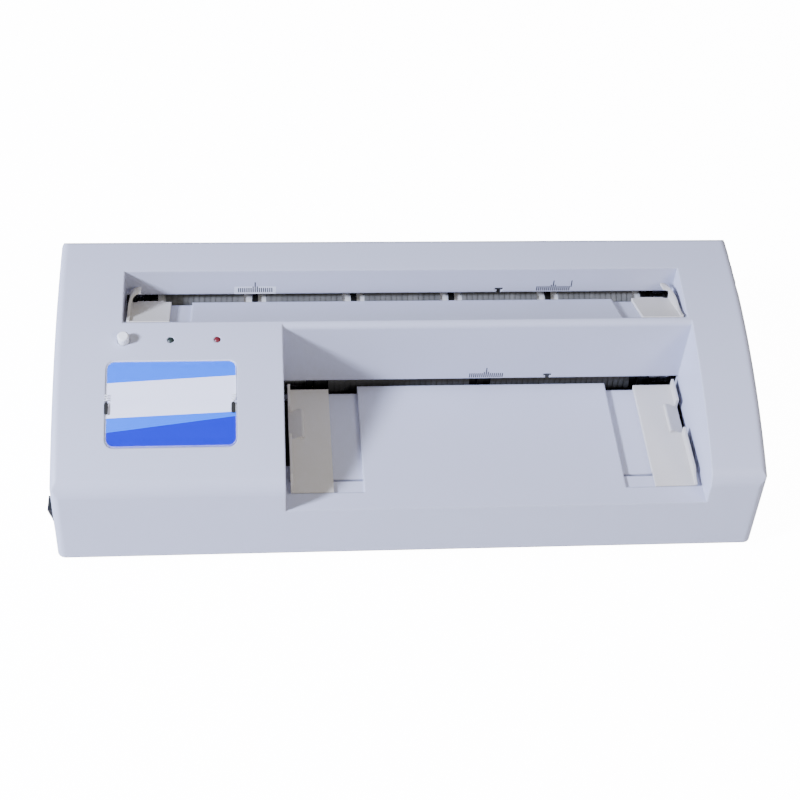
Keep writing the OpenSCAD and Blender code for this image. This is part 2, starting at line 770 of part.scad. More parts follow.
module label_window() {
    color([0.9, 0.93, 0.97, 0.5]) placed()
        label_layer(label_card_t - label_recess, label_proud, base_gap);
}

// Round lamp with a low cap, standing on the control board
module lamp(x) {
    cap_h = 0.6;
    cap_r = (lamp_r * lamp_r + cap_h * cap_h) / (2 * cap_h);
    rim = lamp_r + 0.4;
    rim_top = -wall - control_gap;
    placed() on_crown(x, panel_y) {
        translate([0, 0, -board_drop]) cylinder(r = rim, h = board_drop + rim_top);
        intersection() {
            translate([0, 0, rim_top]) cylinder(r = lamp_r, h = cap_h - rim_top);
            translate([0, 0, cap_h - cap_r]) sphere(r = cap_r);
        }
    }
}
module green_lamp() {
    color([0.10, 0.35, 0.22]) lamp(button_x + lamp_pitch);
}
module red_lamp() {
    color([0.70, 0.08, 0.14]) lamp(button_x + 2 * lamp_pitch);
}

// Push button: a round cap with a flange that stops under the cover
button_flange_r = button_r + 1.4;
button_flange_t = 1;
button_flange_z = -wall - control_gap - button_flange_t;
push_switch_h = 3.4;
module push_button() {
    crown = 0.6;
    low = button_flange_z;
    tip = -board_drop + push_switch_h + button_travel + control_gap;
    color([0.95, 0.95, 0.96]) placed() on_crown(button_x, panel_y) rotate_extrude()
        polygon([
            [0, tip], [button_r - crown, tip], [button_r - crown, low], [button_flange_r, low],
            [button_flange_r, low + button_flange_t], [button_r, low + button_flange_t],
            [button_r, button_h - crown], [button_r - crown, button_h], [0, button_h]
        ]);
}

// Return spring between the board and the button's flange, as a plain sleeve
module button_spring() {
    bore = button_flange_r - 0.9;
    color(steel) placed() on_crown(button_x, panel_y) translate([0, 0, -board_drop]) difference() {
        cylinder(r = button_flange_r, h = board_drop + button_flange_z);
        translate([0, 0, -past]) cylinder(r = bore, h = board_drop + 2 * past);
    }
}

// Small switch on the board under the button
module push_switch() {
    color(black_plastic) placed() on_crown(button_x, panel_y) translate([0, 0, -board_drop])
        cylinder(r = button_r, h = push_switch_h);
}

// The control board hangs from posts under the cover
board_left = 8;
board_right = 12;
board_hole_inset = 4;
board_x0 = button_x - board_left;
board_x1 = button_x + 2 * lamp_pitch + board_right;
board_y0 = -14;
board_y1 = 9;
board_hole_r = 1.2;
board_post_r = 2.5;
board_corners = [
    for (x = [board_x0 + board_hole_inset, board_x1 - board_hole_inset]) [x, board_y0 + board_hole_inset]
];
module board_posts() {
    on_crown(0, panel_y) for (p = board_corners) translate([p[0], p[1], -board_drop])
        cylinder(r = board_post_r, h = board_drop);
}
module control_board() {
    color([0.10, 0.35, 0.18]) placed() on_crown(0, panel_y) difference() {
        block([board_x0, board_y0, -board_drop - board_t], [board_x1, board_y1, -board_drop]);
        for (p = board_corners) translate([p[0], p[1], -board_drop - board_t - past])
            cylinder(r = board_hole_r, h = board_t + 2 * past);
    }
}

// Relay, capacitors and connector on the board's underside
module board_components() {
    relay = [16, 12, 9];
    relay_inset = [14, 6];
    plug = [12, 6, 7];
    plug_inset = [12, 2];
    can_r = 4;
    can_h = 9;
    can_step = 2.4 * can_r;
    can_x = board_x0 + plug_inset[0] + plug[0] + 2 * can_r;
    low = -board_drop - board_t;
    color(black_plastic) placed() on_crown(0, panel_y) {
        translate([board_x1 - relay_inset[0] - relay[0], board_y0 + relay_inset[1], low - relay[2]])
            cube(relay);
        translate([board_x0 + plug_inset[0], board_y0 + plug_inset[1], low - plug[2]]) cube(plug);
        for (i = [0, 1]) translate([can_x + can_step * i, -can_r / 2, low - can_h])
            cylinder(r = can_r, h = can_h);
    }
}

// Rocker switch: a bezel and a box in the wall, and the rocker that tips in it
rocker_w = switch_cut_w - 3.4;
rocker_half = switch_cut_l / 2 - 1.2;
rocker_gap = 0.35;
rocker_pin_r = 1.2;
rocker_proud = 2.2;
bezel_t = 0.8;
rocker_axis_x = -housing_w / 2 + 0.5;
module at_switch() {
    translate([-housing_w / 2, switch_y, switch_z]) children();
}
module rocker_housing() {
    pocket = 6;
    color(black_plastic) placed() difference() {
        at_switch() {
            translate([-bezel_t, -switch_w / 2, -switch_l / 2]) cube([bezel_t, switch_w, switch_l]);
            translate([0, -switch_cut_w / 2, -switch_cut_l / 2])
                cube([switch_depth, switch_cut_w, switch_cut_l]);
        }
        at_switch() translate([-bezel_t - past, -rocker_w / 2 - rocker_gap, -rocker_half - 2 * rocker_gap])
            cube([bezel_t + past + pocket, rocker_w + 2 * rocker_gap, 2 * rocker_half + 4 * rocker_gap]);
        translate([rocker_axis_x, switch_y + rocker_w / 2 + 1.2, switch_z]) rotate([90, 0, 0])
            cylinder(r = rocker_pin_r + run_gap, h = rocker_w + 2.4);
    }
}

// The rocker rests with its upper end pushed out
module rocker() {
    hollow = 0.7;
    root = 2.2;
    out = rocker_proud + 0.5;
    color([0.09, 0.09, 0.10]) placed() translate([rocker_axis_x, switch_y, switch_z])
        rotate([0, -rocker_swing / 2, 0]) rotate([90, 0, 0]) {
            linear_extrude(rocker_w, center = true) union() {
                polygon([
                    [root, 0], [0, -rocker_half + 1], [-out, -rocker_half], [-out + hollow, 0],
                    [-out, rocker_half], [0, rocker_half - 1]
                ]);
                circle(root);
            }
            cylinder(r = rocker_pin_r, h = rocker_w + 2, center = true);
        }
}

// Power inlet: a flanged box with an open socket and pins
inlet_wall = 2;
inlet_socket = 15;
module power_inlet() {
    face = housing_d + inlet_flange_t;
    color(black_plastic) placed() difference() {
        union() {
            translate([inlet_x, housing_d + inlet_flange_t / 2, inlet_z])
                cube([inlet_w + 2 * inlet_flange, inlet_flange_t, inlet_h + 2 * inlet_flange], center = true);
            translate([inlet_x - inlet_w / 2, housing_d - inlet_len, inlet_z - inlet_h / 2])
                cube([inlet_w, inlet_len, inlet_h]);
        }
        translate([inlet_x, face + past, inlet_z]) rotate([90, 0, 0]) linear_extrude(inlet_socket + past)
            square([inlet_w - 2 * inlet_wall, inlet_h - 2 * inlet_wall], center = true);
        for (p = inlet_pin_places) translate(p) cube(inlet_pin, center = true);
    }
}
inlet_pin = [2, 14, 4];
inlet_pin_y = housing_d - inlet_len + inlet_pin[1] / 2 + 1;
inlet_pin_places = [
    for (p = [[-4, 6], [4, 0], [-4, -6]]) [inlet_x + p[0], inlet_pin_y, inlet_z + p[1]]
];
module inlet_pins() {
    color([0.80, 0.68, 0.35]) placed() for (p = inlet_pin_places) translate(p) cube(inlet_pin, center = true);
}

sensor_reach = 0.7;
module upper_paper_sensor() {
    color(black_plastic) placed() sensor(upper_sensor_x, upper_wall_y, upper_wall_z, sensor_reach);
}
module lower_paper_sensor() {
    color(black_plastic) placed()
        sensor(lower_sensor_x, lower_depth, table_h + lower_slot_h, sensor_reach / 2);
}

// Paper guide of the lower throat, drawn for the left side. It slides on its hooks, and a ramp
// on its outer side gives a finger hold.
module lower_guide() {
    outer = lower_guide_inset;
    inner = lower_guide_inset + lower_guide_w;
    top = table_h + guide_proud;
    low = table_h - lower_channel_d + guide_gap;
    lip_low = table_h - lower_channel_d / 2 + guide_gap;
    fence_top = top + lower_fence_h;
    slot_end = hook_slot_y + hook_slot_w;
    hook_t = 1.4;
    hook_low = table_h - table_t - guide_gap - hook_t;
    toe = 2.4;
    leg_inset = 6;
    leg_x0 = outer + leg_inset;
    leg_x1 = inner - leg_inset;
    rear_leg = lower_channel_end + guide_gap;
    rear_end = rear_leg + rear_leg_t;
    ramp_back = 14.5;
    ramp_len = 19.5;
    ramp_w = 7;
    ramp_d = 1.4;
    crest_t = 0.9;
    crest_h = 1.8;
    flare_r = 12;
    flare_h = 1;
    ramp_y1 = lower_channel_end - ramp_back;
    ramp_y0 = ramp_y1 - ramp_len;
    crest_x = outer + ramp_w;
    difference() {
        union() {
            block([outer, slot_end, low], [inner, rear_end, top]);
            block([outer, lower_guide_y, lip_low], [inner, slot_end, top]);
            along_x(outer, outer + fence_t) difference() {
                translate([lower_guide_y, lip_low]) square([rear_end - lower_guide_y, fence_top - lip_low]);
                translate([lower_guide_y, top + flare_r + flare_h]) circle(flare_r);
            }
        }
        block([outer - past, ramp_y0, top - ramp_d], [crest_x, ramp_y1, fence_top + past]);
    }
    along_y(ramp_y0, ramp_y1) polygon([
        [outer, low], [outer, top - ramp_d], [crest_x, top + crest_h],
        [crest_x + crest_t, top + crest_h], [crest_x + crest_t, low]
    ]);
    block([leg_x0, hook_slot_y + guide_gap, hook_low], [leg_x1, slot_end - guide_gap, top]);
    block([leg_x0, hook_slot_y - toe, hook_low], [leg_x1, slot_end - guide_gap, hook_low + hook_t]);
    block([leg_x0, rear_leg, hook_low], [leg_x1, rear_end, top]);
    block([leg_x0, rear_leg - toe, hook_low], [leg_x1, rear_end, hook_low + hook_t]);
}
module lower_left_guide() {
    color(guide_cream) placed() translate([lower_x0, 0, 0]) lower_guide();
}
module lower_right_guide() {
    color(guide_cream) placed() translate([lower_x1, 0, 0]) mirror([1, 0, 0]) lower_guide();
}

// Paper guide of the upper throat, drawn for the left side on the sloping floor. Its fence
// rises in an S from a low lip at the front and curls inwards to hold the paper down.
module upper_guide() {
    outer = upper_guide_inset;
    inner = upper_guide_inset + upper_guide_w;
    front = 1.2;
    top = guide_proud;
    low = guide_gap - upper_channel_d;
    rise_from = 5;
    lip_h = 0.8;
    steps = 12;
    clip_t = 1.4;
    clip = floor_len + guide_gap;
    clip_end = clip + clip_t;
    clip_low = -upper_floor_t - guide_gap - clip_t;
    clip_inset = 4;
    toe = 4;
    horn_over = 0.8;
    horn_end = floor_len + horn_over;
    fence_top = top + upper_fence_h;
    curl_r = 5.6;
    curl_w = 6.4;
    curl_mid = [outer + curl_r, fence_top - curl_r];
    rise = [
        for (i = [0 : steps]) [
            rise_from + (floor_len - rise_from) * i / steps,
            top + lip_h + (upper_fence_h - lip_h) * (1 - cos(180 * i / steps)) / 2
        ]
    ];
    outline = concat([[front, low], [front, top + lip_h]], rise, [
        [horn_end, fence_top], [horn_end, top], [floor_len, low]
    ]);
    block([outer, front, low], [inner, floor_len, top]);
    intersection() {
        along_x(outer, outer + curl_w) polygon(outline);
        along_y(front - past, horn_end + past) difference() {
            union() {
                translate([outer, low - past]) square([curl_r, curl_mid[1] - low + past]);
                translate(curl_mid) circle(curl_r);
            }
            translate(curl_mid) circle(curl_r - fence_t);
            translate([outer + fence_t, low - 2 * past]) square([far, curl_mid[1] - low + 2 * past]);
        }
    }
    block([outer + clip_inset, floor_len - past, low], [inner - clip_inset, clip_end, top]);
    block([outer + clip_inset, clip, clip_low], [inner - clip_inset, clip_end, top]);
    block([outer + clip_inset, clip - toe, clip_low], [inner - clip_inset, clip_end, clip_low + clip_t]);
}
module upper_left_guide() {
    color(guide_cream) placed() on_floor() translate([upper_x0, 0, 0]) upper_guide();
}
module upper_right_guide() {
    color(guide_cream) placed() on_floor() translate([upper_x1, 0, 0]) mirror([1, 0, 0]) upper_guide();
}

// A frame plate with bush holes, other holes and a bent foot towards foot_side
module frame_plate(x, outline, bores, holes, hole_r, foot_side) {
    y0 = min([for (p = outline) p[1] < base_top + past ? p[0] : far]);
    y1 = max([for (p = outline) p[1] < base_top + past ? p[0] : -far]);
    foot_x = foot_side > 0 ? x : x - flange_w;
    difference() {
        union() {
            along_x(x, x + plate_t) polygon(outline);
            block([foot_x, y0, base_top], [foot_x + flange_w + plate_t, y1, base_top + plate_t]);
        }
        for (p = bores) bar_x(p, bush_r + fit_gap, x - past, x + plate_t + past);
        for (p = holes) bar_x(p, hole_r + fit_gap, x - past, x + plate_t + past);
        for (p = foot_screws(x, y0, y1, foot_side)) translate([p[0], p[1], base_top - past])
            cylinder(r = frame_screw_r + run_gap, h = plate_t + 2 * past);
    }
}
function foot_screws(x, y0, y1, side) = [
    for (y = [y0 + 6, y1 - 6]) [x + plate_t / 2 + side * (plate_t + flange_w) / 2, y]
];

// Outlines of the frame plates, with this much metal beyond a shaft, a rod or a spacer, and the
// gearbox plate wide enough for the motor
plate_edge = 11;
plate_side = 14;
rod_edge = 6;
motor_edge = motor_r + 2;
right_outline = [
    [lower_axis_y - plate_side, base_top], [lower_axis_y - plate_side, lower_drive[1] + plate_edge],
    [transfer[0] - plate_edge, transfer[1] + plate_edge], [upper_drive[0], upper_drive[1] + plate_edge],
    [plate_back, upper_drive[1] + rod_edge], [plate_back, base_top]
];
left_front = min(upper_idle[0] - plate_side, tie[0] - rod_edge);
left_outline = [
    [left_front, base_top], [left_front, tie[1] + rod_edge], [upper_idle[0] - plate_edge, upper_idle[1]],
    [upper_drive[0] - rod_edge, upper_drive[1] + plate_edge],
    [upper_drive[0] + rod_edge, upper_drive[1] + plate_edge], [plate_back, upper_drive[1]],
    [plate_back, base_top]
];
middle_outline = [
    [spacers[0][0] - rod_edge, base_top], [spacers[0][0] - rod_edge, plate_top], [compound[0], plate_top],
    [lower_axis_y + plate_edge, lower_drive[1] + rod_edge], [lower_axis_y + plate_edge, tie[1] + plate_edge],
    [tie[0] + rod_edge, tie[1] + rod_edge], [tie[0] + rod_edge, base_top]
];
gearbox_outline = [
    [motor[0] - motor_edge, base_top], [motor[0] - motor_edge, motor[1] + plate_edge],
    [spacers[0][0] - rod_edge, plate_top], [compound[0] + rod_edge, plate_top],
    [compound[0] + motor_edge, compound[1]], [compound[0] + motor_edge, base_top]
];
frame_screw_places = [
    each foot_screws(right_plate_x, right_outline[0][0], plate_back, 1),
    each foot_screws(left_plate_x, left_outline[0][0], plate_back, -1),
    each foot_screws(middle_plate_x, middle_outline[0][0], middle_outline[6][0], -1),
    each foot_screws(gearbox_plate_x, gearbox_outline[0][0], gearbox_outline[5][0], -1)
];
motor_boss_r = 6;
motor_bolts = [for (a = [45, 225]) motor + polar(motor_r - 5, a)];

module right_plate() {
    color(steel) placed() difference() {
        frame_plate(
            right_plate_x, right_outline, [upper_drive, upper_idle, lower_drive, lower_idle],
            [transfer], stud_r, 1
        );
        bar_x(tie, tie_end_r + fit_gap, right_plate_x - past, right_plate_x + plate_t + past);
    }
}
module left_plate() {
    color(steel) placed() difference() {
        frame_plate(left_plate_x, left_outline, [upper_drive, upper_idle], [], stud_r, -1);
        bar_x(tie, tie_end_r + fit_gap, left_plate_x - past, left_plate_x + plate_t + past);
    }
}
module middle_plate() {
    color(steel) placed() difference() {
        frame_plate(middle_plate_x, middle_outline, [lower_drive, lower_idle], [compound], stud_r, -1);
        bar_x(tie, tie_r + fit_gap, middle_plate_x - past, middle_plate_x + plate_t + past);
        for (p = spacers)
            bar_x(p, spacer_end_r + fit_gap, middle_plate_x - past, middle_plate_x + plate_t + past);
    }
}
module gearbox_plate() {
    x0 = gearbox_plate_x - past;
    x1 = gearbox_plate_x + plate_t + past;
    color(steel) placed() difference() {
        frame_plate(gearbox_plate_x, gearbox_outline, [], [compound], stud_r, -1);
        bar_x(motor, motor_boss_r + fit_gap, x0, x1);
        for (p = spacers) bar_x(p, spacer_end_r + fit_gap, x0, x1);
        for (p = motor_bolts) bar_x(p, frame_screw_r + run_gap, x0, x1);
    }
}

// Rod that ties the three main plates, with stepped ends riveted in the outer ones
module tie_rod() {
    color(steel) placed() {
        bar_x(tie, tie_r, left_plate_x + plate_t, right_plate_x);
        bar_x(tie, tie_end_r, left_plate_x - rivet_h, right_plate_x + plate_t + rivet_h);
    }
}

// Posts between the gearbox plate and the middle plate, with stepped ends
module gearbox_spacers() {
    color(steel) placed() for (p = spacers) {
        bar_x(p, spacer_r, gearbox_plate_x + plate_t, middle_plate_x);
        bar_x(p, spacer_end_r, gearbox_plate_x + rivet_sink, middle_plate_x + plate_t + rivet_h);
    }
}

// Screws that hold the plates' feet on the base tray
module frame_screws() {
    color(steel) placed() for (p = frame_screw_places) translate([p[0], p[1], base_top]) {
        translate([0, 0, -frame_screw_bite]) cylinder(r = frame_screw_r, h = frame_screw_bite + plate_t);
        translate([0, 0, plate_t]) cylinder(r = bolt_head * frame_screw_r, h = bolt_head_h);
    }
}

// Flanged bush with its flange on the plate's outer side
module bush(p, x, side) {
    flange_x = side > 0 ? x + plate_t : x - bush_flange_t;
    difference() {
        union() {
            bar_x(p, bush_r, x, x + plate_t);
            bar_x(p, bush_flange_r, flange_x, flange_x + bush_flange_t);
        }
        bar_x(p, shaft_r + run_gap, x - 2 * bush_flange_t, x + plate_t + 2 * bush_flange_t);
    }
}
module shaft_bushes() {
    color([0.72, 0.55, 0.30]) placed() {
        for (p = [upper_drive, upper_idle, lower_drive, lower_idle]) bush(p, right_plate_x, 1);
        for (p = [upper_drive, upper_idle]) bush(p, left_plate_x, -1);
        for (p = [lower_drive, lower_idle]) bush(p, middle_plate_x, -1);
    }
}

// Bent sheet that carries cards from the lower nip out at the back
module card_chute() {
    y0 = lower_axis_y + disc_r + disc_clear;
    y1 = inside_back - 0.5;
    drop = (y1 - y0) * tan(chute_slope);
    low = chute_h - drop;
    color(steel) placed() along_x(middle_plate_x + plate_t, right_plate_x) polygon([
        [y0, chute_h], [y1, low], [y1, base_top], [y1 - chute_t, base_top],
        [y1 - chute_t, low - chute_t], [y0, chute_h - chute_t]
    ]);
}

// Idle shafts end short of the transfer gear
idle_right_x = right_gear_x - shaft_over;

// A ring round a shaft
module ring(p, r, x0, x1) {
    along_x(x0, x1) translate(p) difference() {
        circle(r);
        circle(shaft_bore);
    }
}

// Cutter discs, each at a station plus a shift
module discs(p, stations, shift) {
    for (x = stations) ring(p, disc_r, x + shift - disc_t / 2, x + shift + disc_t / 2);
}

// Collars beside each disc, and one at each end that keeps the shaft in place
module collars(p, stations, shift, plate_left, plate_right) {
    end_gap = 0.4;
    end_w = 5;
    for (x = stations) {
        ring(p, collar_r, x - station_half, x + shift - disc_t / 2);
        ring(p, collar_r, x + shift + disc_t / 2, x + station_half);
    }
    ring(p, collar_r, plate_left + end_gap, plate_left + end_gap + end_w);
    ring(p, collar_r, plate_right - end_gap - end_w, plate_right - end_gap);
}

// Feed sleeves between the stations, each grooved round its rim
module sleeves(p, stations) {
    groove_w = groove_pitch / 3;
    for (i = [0 : len(stations) - 2]) {
        x0 = stations[i] + station_half;
        x1 = stations[i + 1] - station_half;
        count = floor((x1 - x0) / groove_pitch) - 1;
        first = (x1 - x0 - (count - 1) * groove_pitch) / 2;
        translate([x0, p[0], p[1]]) rotate([0, 90, 0]) rotate_extrude() difference() {
            translate([shaft_bore, 0]) square([roller_r - shaft_bore, x1 - x0]);
            for (k = [0 : count - 1])
                translate([roller_r - groove_d, first + k * groove_pitch - groove_w / 2])
                square([groove_d + past, groove_w]);
        }
    }
}

// Spur gear outline with involute flanks, one tooth centred at the angle turn
function involute(a) = tan(a) * 180 / PI - a;
module gear_outline(teeth, turn) {
    r = gear_r(teeth);
    base = r * cos(pressure_angle);
    root = r - 1.25 * gear_module;
    tip = r + 0.95 * gear_module;
    start = max(base, root);
    flank = 4;
    thin = backlash / 4 / r * 180 / PI;
    half = 90 / teeth - thin + involute(pressure_angle);
    side = [
        for (i = [0 : flank]) let (q = start + (tip - start) * i / flank)
            [q, half - involute(acos(min(1, base / q)))]
    ];
    half_tooth = concat([[root, side[0][1]]], side);
    last = len(half_tooth) - 1;
    polygon([
        for (k = [0 : teeth - 1]) let (mid = turn + k * 360 / teeth) each concat(
            [for (i = [0 : last]) polar(half_tooth[i][0], mid - half_tooth[i][1])],
            [for (i = [last : -1 : 0]) polar(half_tooth[i][0], mid + half_tooth[i][1])]
        )
    ]);
}

// Gear on a shaft or a stud
module gear(p, teeth, turn, x0, x1, bore) {
    translate([0, p[0], p[1]]) along_x(x0, x1) difference() {
        gear_outline(teeth, turn);
        circle(bore);
    }
}

module upper_drive_shaft() {
    color(steel) placed() bar_x(upper_drive, shaft_r, upper_shaft_left_x, shaft_right_x);
}
module upper_drive_discs() {
    color(dark_steel) placed() discs(upper_drive, upper_stations, drive_disc_shift);
}
module upper_drive_collars() {
    color(steel) placed()
        collars(upper_drive, upper_stations, drive_disc_shift, left_plate_x + plate_t, right_plate_x);
}
module upper_drive_sleeves() {
    color(rubber_grey) placed() sleeves(upper_drive, upper_stations);
}
module upper_drive_gears() {
    color(gear_white) placed() {
        gear(upper_drive, roller_teeth, upper_turn, right_gear_x, right_gear_x + gear_w, shaft_bore);
        gear(upper_drive, roller_teeth, 0, left_gear_x, left_gear_x + gear_w, shaft_bore);
    }
}

module upper_idle_shaft() {
    color(steel) placed() bar_x(upper_idle, shaft_r, upper_shaft_left_x, idle_right_x);
}
module upper_idle_discs() {
    color(dark_steel) placed() discs(upper_idle, upper_stations, 0);
}
module upper_idle_collars() {
    color(steel) placed()
        collars(upper_idle, upper_stations, 0, left_plate_x + plate_t, right_plate_x);
}
module upper_idle_sleeves() {
    color(rubber_grey) placed() sleeves(upper_idle, upper_stations);
}
module upper_idle_gear() {
    color(gear_white) placed()
        gear(upper_idle, roller_teeth, upper_pair_turn, left_gear_x, left_gear_x + gear_w, shaft_bore);
}

module lower_drive_shaft() {
    color(steel) placed() bar_x(lower_drive, shaft_r, lower_shaft_left_x, shaft_right_x);
}
module lower_drive_discs() {
    color(dark_steel) placed() discs(lower_drive, lower_stations, drive_disc_shift);
}
module lower_drive_collars() {
    color(steel) placed()
        collars(lower_drive, lower_stations, drive_disc_shift, middle_plate_x + plate_t, right_plate_x);
}
module lower_drive_sleeves() {
    color(rubber_grey) placed() sleeves(lower_drive, lower_stations);
}
module lower_drive_gears() {
    color(gear_white) placed() {
        gear(lower_drive, roller_teeth, 0, right_gear_x, right_gear_x + gear_w, shaft_bore);
        gear(lower_drive, roller_teeth, 0, pair_gear_x, pair_gear_x + pair_gear_w, shaft_bore);
    }
}

module lower_idle_shaft() {
    color(steel) placed() bar_x(lower_idle, shaft_r, lower_shaft_left_x, idle_right_x);
}
module lower_idle_discs() {
    color(dark_steel) placed() discs(lower_idle, lower_stations, 0);
}
module lower_idle_collars() {
    color(steel) placed()
        collars(lower_idle, lower_stations, 0, middle_plate_x + plate_t, right_plate_x);
}
module lower_idle_sleeves() {
    color(rubber_grey) placed() sleeves(lower_idle, lower_stations);
}
module lower_idle_gear() {
    color(gear_white) placed()
        gear(lower_idle, roller_teeth, lower_pair_turn, pair_gear_x, pair_gear_x + pair_gear_w, shaft_bore);
}

// Gear that carries the drive from the lower pair to the upper pair, recessed between rim and hub
module transfer_gear() {
    hub_r = stud_r + 3;
    rim_r = gear_r(transfer_teeth) - 3;
    recess = gear_w / 4;
    color(gear_white) placed() difference() {
        gear(transfer, transfer_teeth, transfer_turn, right_gear_x, right_gear_x + gear_w, stud_r + run_gap);
        for (x = [right_gear_x - past, right_gear_x + gear_w - recess])
            along_x(x, x + recess + past) translate(transfer) difference() {
                circle(rim_r);
                circle(hub_r);
            }
    }
}

// Large wheel and small pinion in one piece, on a stud in the gearbox
module compound_gear() {
    hub_r = gear_r(roller_teeth) - 1.5;
    bore = stud_r + run_gap;
    hole_r = 4;
    hole_n = 6;
    hole_at = (hub_r + gear_r(wheel_teeth)) / 2;
    color(gear_white) placed() difference() {
        union() {
            gear(compound, roller_teeth, compound_turn, pair_gear_x, pair_gear_x + pair_gear_w, bore);
            gear(compound, wheel_teeth, compound_turn, wheel_x, wheel_x + gear_w, bore);
            bar_x(compound, hub_r, wheel_x + gear_w - past, pair_gear_x + past);
        }
        bar_x(compound, bore, wheel_x - past, pair_gear_x + pair_gear_w + past);
        for (i = [1 : hole_n])
            bar_x(compound + polar(hole_at, i * 360 / hole_n), hole_r,
                wheel_x - past, wheel_x + gear_w + past);
    }
}

// Fixed studs: one in the right plate, one between the gearbox plates
stud_shoulder_r = 5;
ring_t = 0.8;
ring_gap = 0.3;
module gear_studs() {
    color(steel) placed() {
        bar_x(transfer, stud_r, right_plate_x, right_gear_x + gear_w + ring_gap + 2 * ring_t);
        bar_x(transfer, stud_shoulder_r, right_plate_x + plate_t, right_gear_x - ring_gap);
        bar_x(compound, stud_r, gearbox_plate_x, middle_plate_x + plate_t);
        bar_x(compound, stud_shoulder_r, gearbox_plate_x + plate_t, wheel_x - ring_gap);
    }
}
module ring_outline() {
    difference() {
        circle(stud_shoulder_r);
        circle(stud_r + fit_gap);
    }
}
module stud_rings() {
    x = right_gear_x + gear_w + ring_gap;
    c = pair_gear_x + pair_gear_w + ring_gap;
    color(dark_steel) placed() {
        along_x(x, x + ring_t) translate(transfer) ring_outline();
        along_x(c, c + ring_t) translate(compound) ring_outline();
    }
}

// Motor can with a front boss, a rear cap and two terminals, bored for its shaft
motor_x1 = gearbox_plate_x;
motor_x0 = motor_x1 - motor_len;
motor_bore_depth = 24;
motor_screw_bite = 5;
module drive_motor() {
    cap_r = motor_r - 5;
    cap_t = 3;
    bend = 2;
    color([0.62, 0.63, 0.65]) placed() difference() {
        union() {
            translate([motor_x0, motor[0], motor[1]]) rotate([0, 90, 0]) rotate_extrude() polygon([
                [0, 0], [motor_r - bend, 0], [motor_r, bend], [motor_r, motor_len - bend],
                [motor_r - bend, motor_len], [0, motor_len]
            ]);
            bar_x(motor, motor_boss_r, motor_x1 - past, motor_x1 + plate_t);
            bar_x(motor, cap_r, motor_x0 - cap_t, motor_x0 + past);
            for (side = [-1, 1]) translate([motor_x0 - 6, motor[0] + side * 7 - 0.4, motor[1] - 2])
                cube([6 + past, 0.8, 4]);
        }
        bar_x(motor, motor_shaft_r + run_gap, motor_x1 - motor_bore_depth, motor_x1 + plate_t + past);
        for (p = motor_bolts)
            bar_x(p, frame_screw_r + fit_gap, motor_x1 - motor_screw_bite - past, motor_x1 + past);
    }
}
module motor_shaft() {
    color(steel) placed()
        bar_x(motor, motor_shaft_r, motor_x1 - motor_bore_depth + run_gap, wheel_x + gear_w + shaft_over);
}
module motor_pinion() {
    color([0.78, 0.62, 0.30]) placed()
        gear(motor, pinion_teeth, pinion_turn, wheel_x, wheel_x + gear_w, motor_shaft_r + fit_gap);
}
module motor_screws() {
    color(steel) placed() for (p = motor_bolts) {
        bar_x(p, frame_screw_r, motor_x1 - motor_screw_bite, motor_x1 + plate_t);
        bar_x(p, bolt_head * frame_screw_r, motor_x1 + plate_t, motor_x1 + plate_t + bolt_head_h);
    }
}

top_cover();
base_tray();
rubber_feet();
cover_screws();
label_card();
label_window();
green_lamp();
red_lamp();
push_button();
button_spring();
push_switch();
control_board();
board_components();
rocker_housing();
rocker();
power_inlet();
inlet_pins();
upper_paper_sensor();
lower_paper_sensor();
lower_left_guide();
lower_right_guide();
upper_left_guide();
upper_right_guide();
right_plate();
middle_plate();
left_plate();
gearbox_plate();
tie_rod();
gearbox_spacers();
frame_screws();
shaft_bushes();
card_chute();
upper_drive_shaft();
upper_drive_discs();
upper_drive_collars();
upper_drive_sleeves();
upper_drive_gears();
upper_idle_shaft();
upper_idle_discs();
upper_idle_collars();
upper_idle_sleeves();
upper_idle_gear();
lower_drive_shaft();
lower_drive_discs();
lower_drive_collars();
lower_drive_sleeves();
lower_drive_gears();
lower_idle_shaft();
lower_idle_discs();
lower_idle_collars();
lower_idle_sleeves();
lower_idle_gear();
transfer_gear();
compound_gear();
gear_studs();
stud_rings();
drive_motor();
motor_shaft();
motor_pinion();
motor_screws();
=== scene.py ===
# %% [markdown]
# # Dressing a card slitter
#
# The solid parts of the machine come from the imported model, each one a mesh that already sits in its
# place, in metres. This lesson gives every part a finish, adds the thin printed things that a solid
# model leaves out, and lights the machine as a studio would. The first cell loads the parts.

import json
import math

import bmesh
import bpy
from mathutils import Matrix, Vector


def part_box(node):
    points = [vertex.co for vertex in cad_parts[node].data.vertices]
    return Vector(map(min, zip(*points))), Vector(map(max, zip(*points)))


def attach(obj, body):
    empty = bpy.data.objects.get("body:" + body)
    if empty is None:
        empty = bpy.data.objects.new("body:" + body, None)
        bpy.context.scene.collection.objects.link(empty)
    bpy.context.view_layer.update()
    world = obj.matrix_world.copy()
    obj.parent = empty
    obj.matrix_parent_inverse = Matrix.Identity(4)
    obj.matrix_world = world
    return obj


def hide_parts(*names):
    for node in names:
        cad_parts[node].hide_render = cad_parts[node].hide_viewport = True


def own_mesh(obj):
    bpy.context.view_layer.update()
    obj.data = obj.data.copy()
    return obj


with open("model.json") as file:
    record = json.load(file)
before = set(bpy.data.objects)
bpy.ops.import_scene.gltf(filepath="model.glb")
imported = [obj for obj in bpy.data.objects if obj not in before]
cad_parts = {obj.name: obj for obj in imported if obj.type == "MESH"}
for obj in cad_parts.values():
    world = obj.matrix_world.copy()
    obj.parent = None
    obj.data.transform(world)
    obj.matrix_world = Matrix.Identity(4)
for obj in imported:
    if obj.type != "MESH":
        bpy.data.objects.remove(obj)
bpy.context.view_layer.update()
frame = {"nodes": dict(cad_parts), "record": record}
nodes = frame["nodes"]

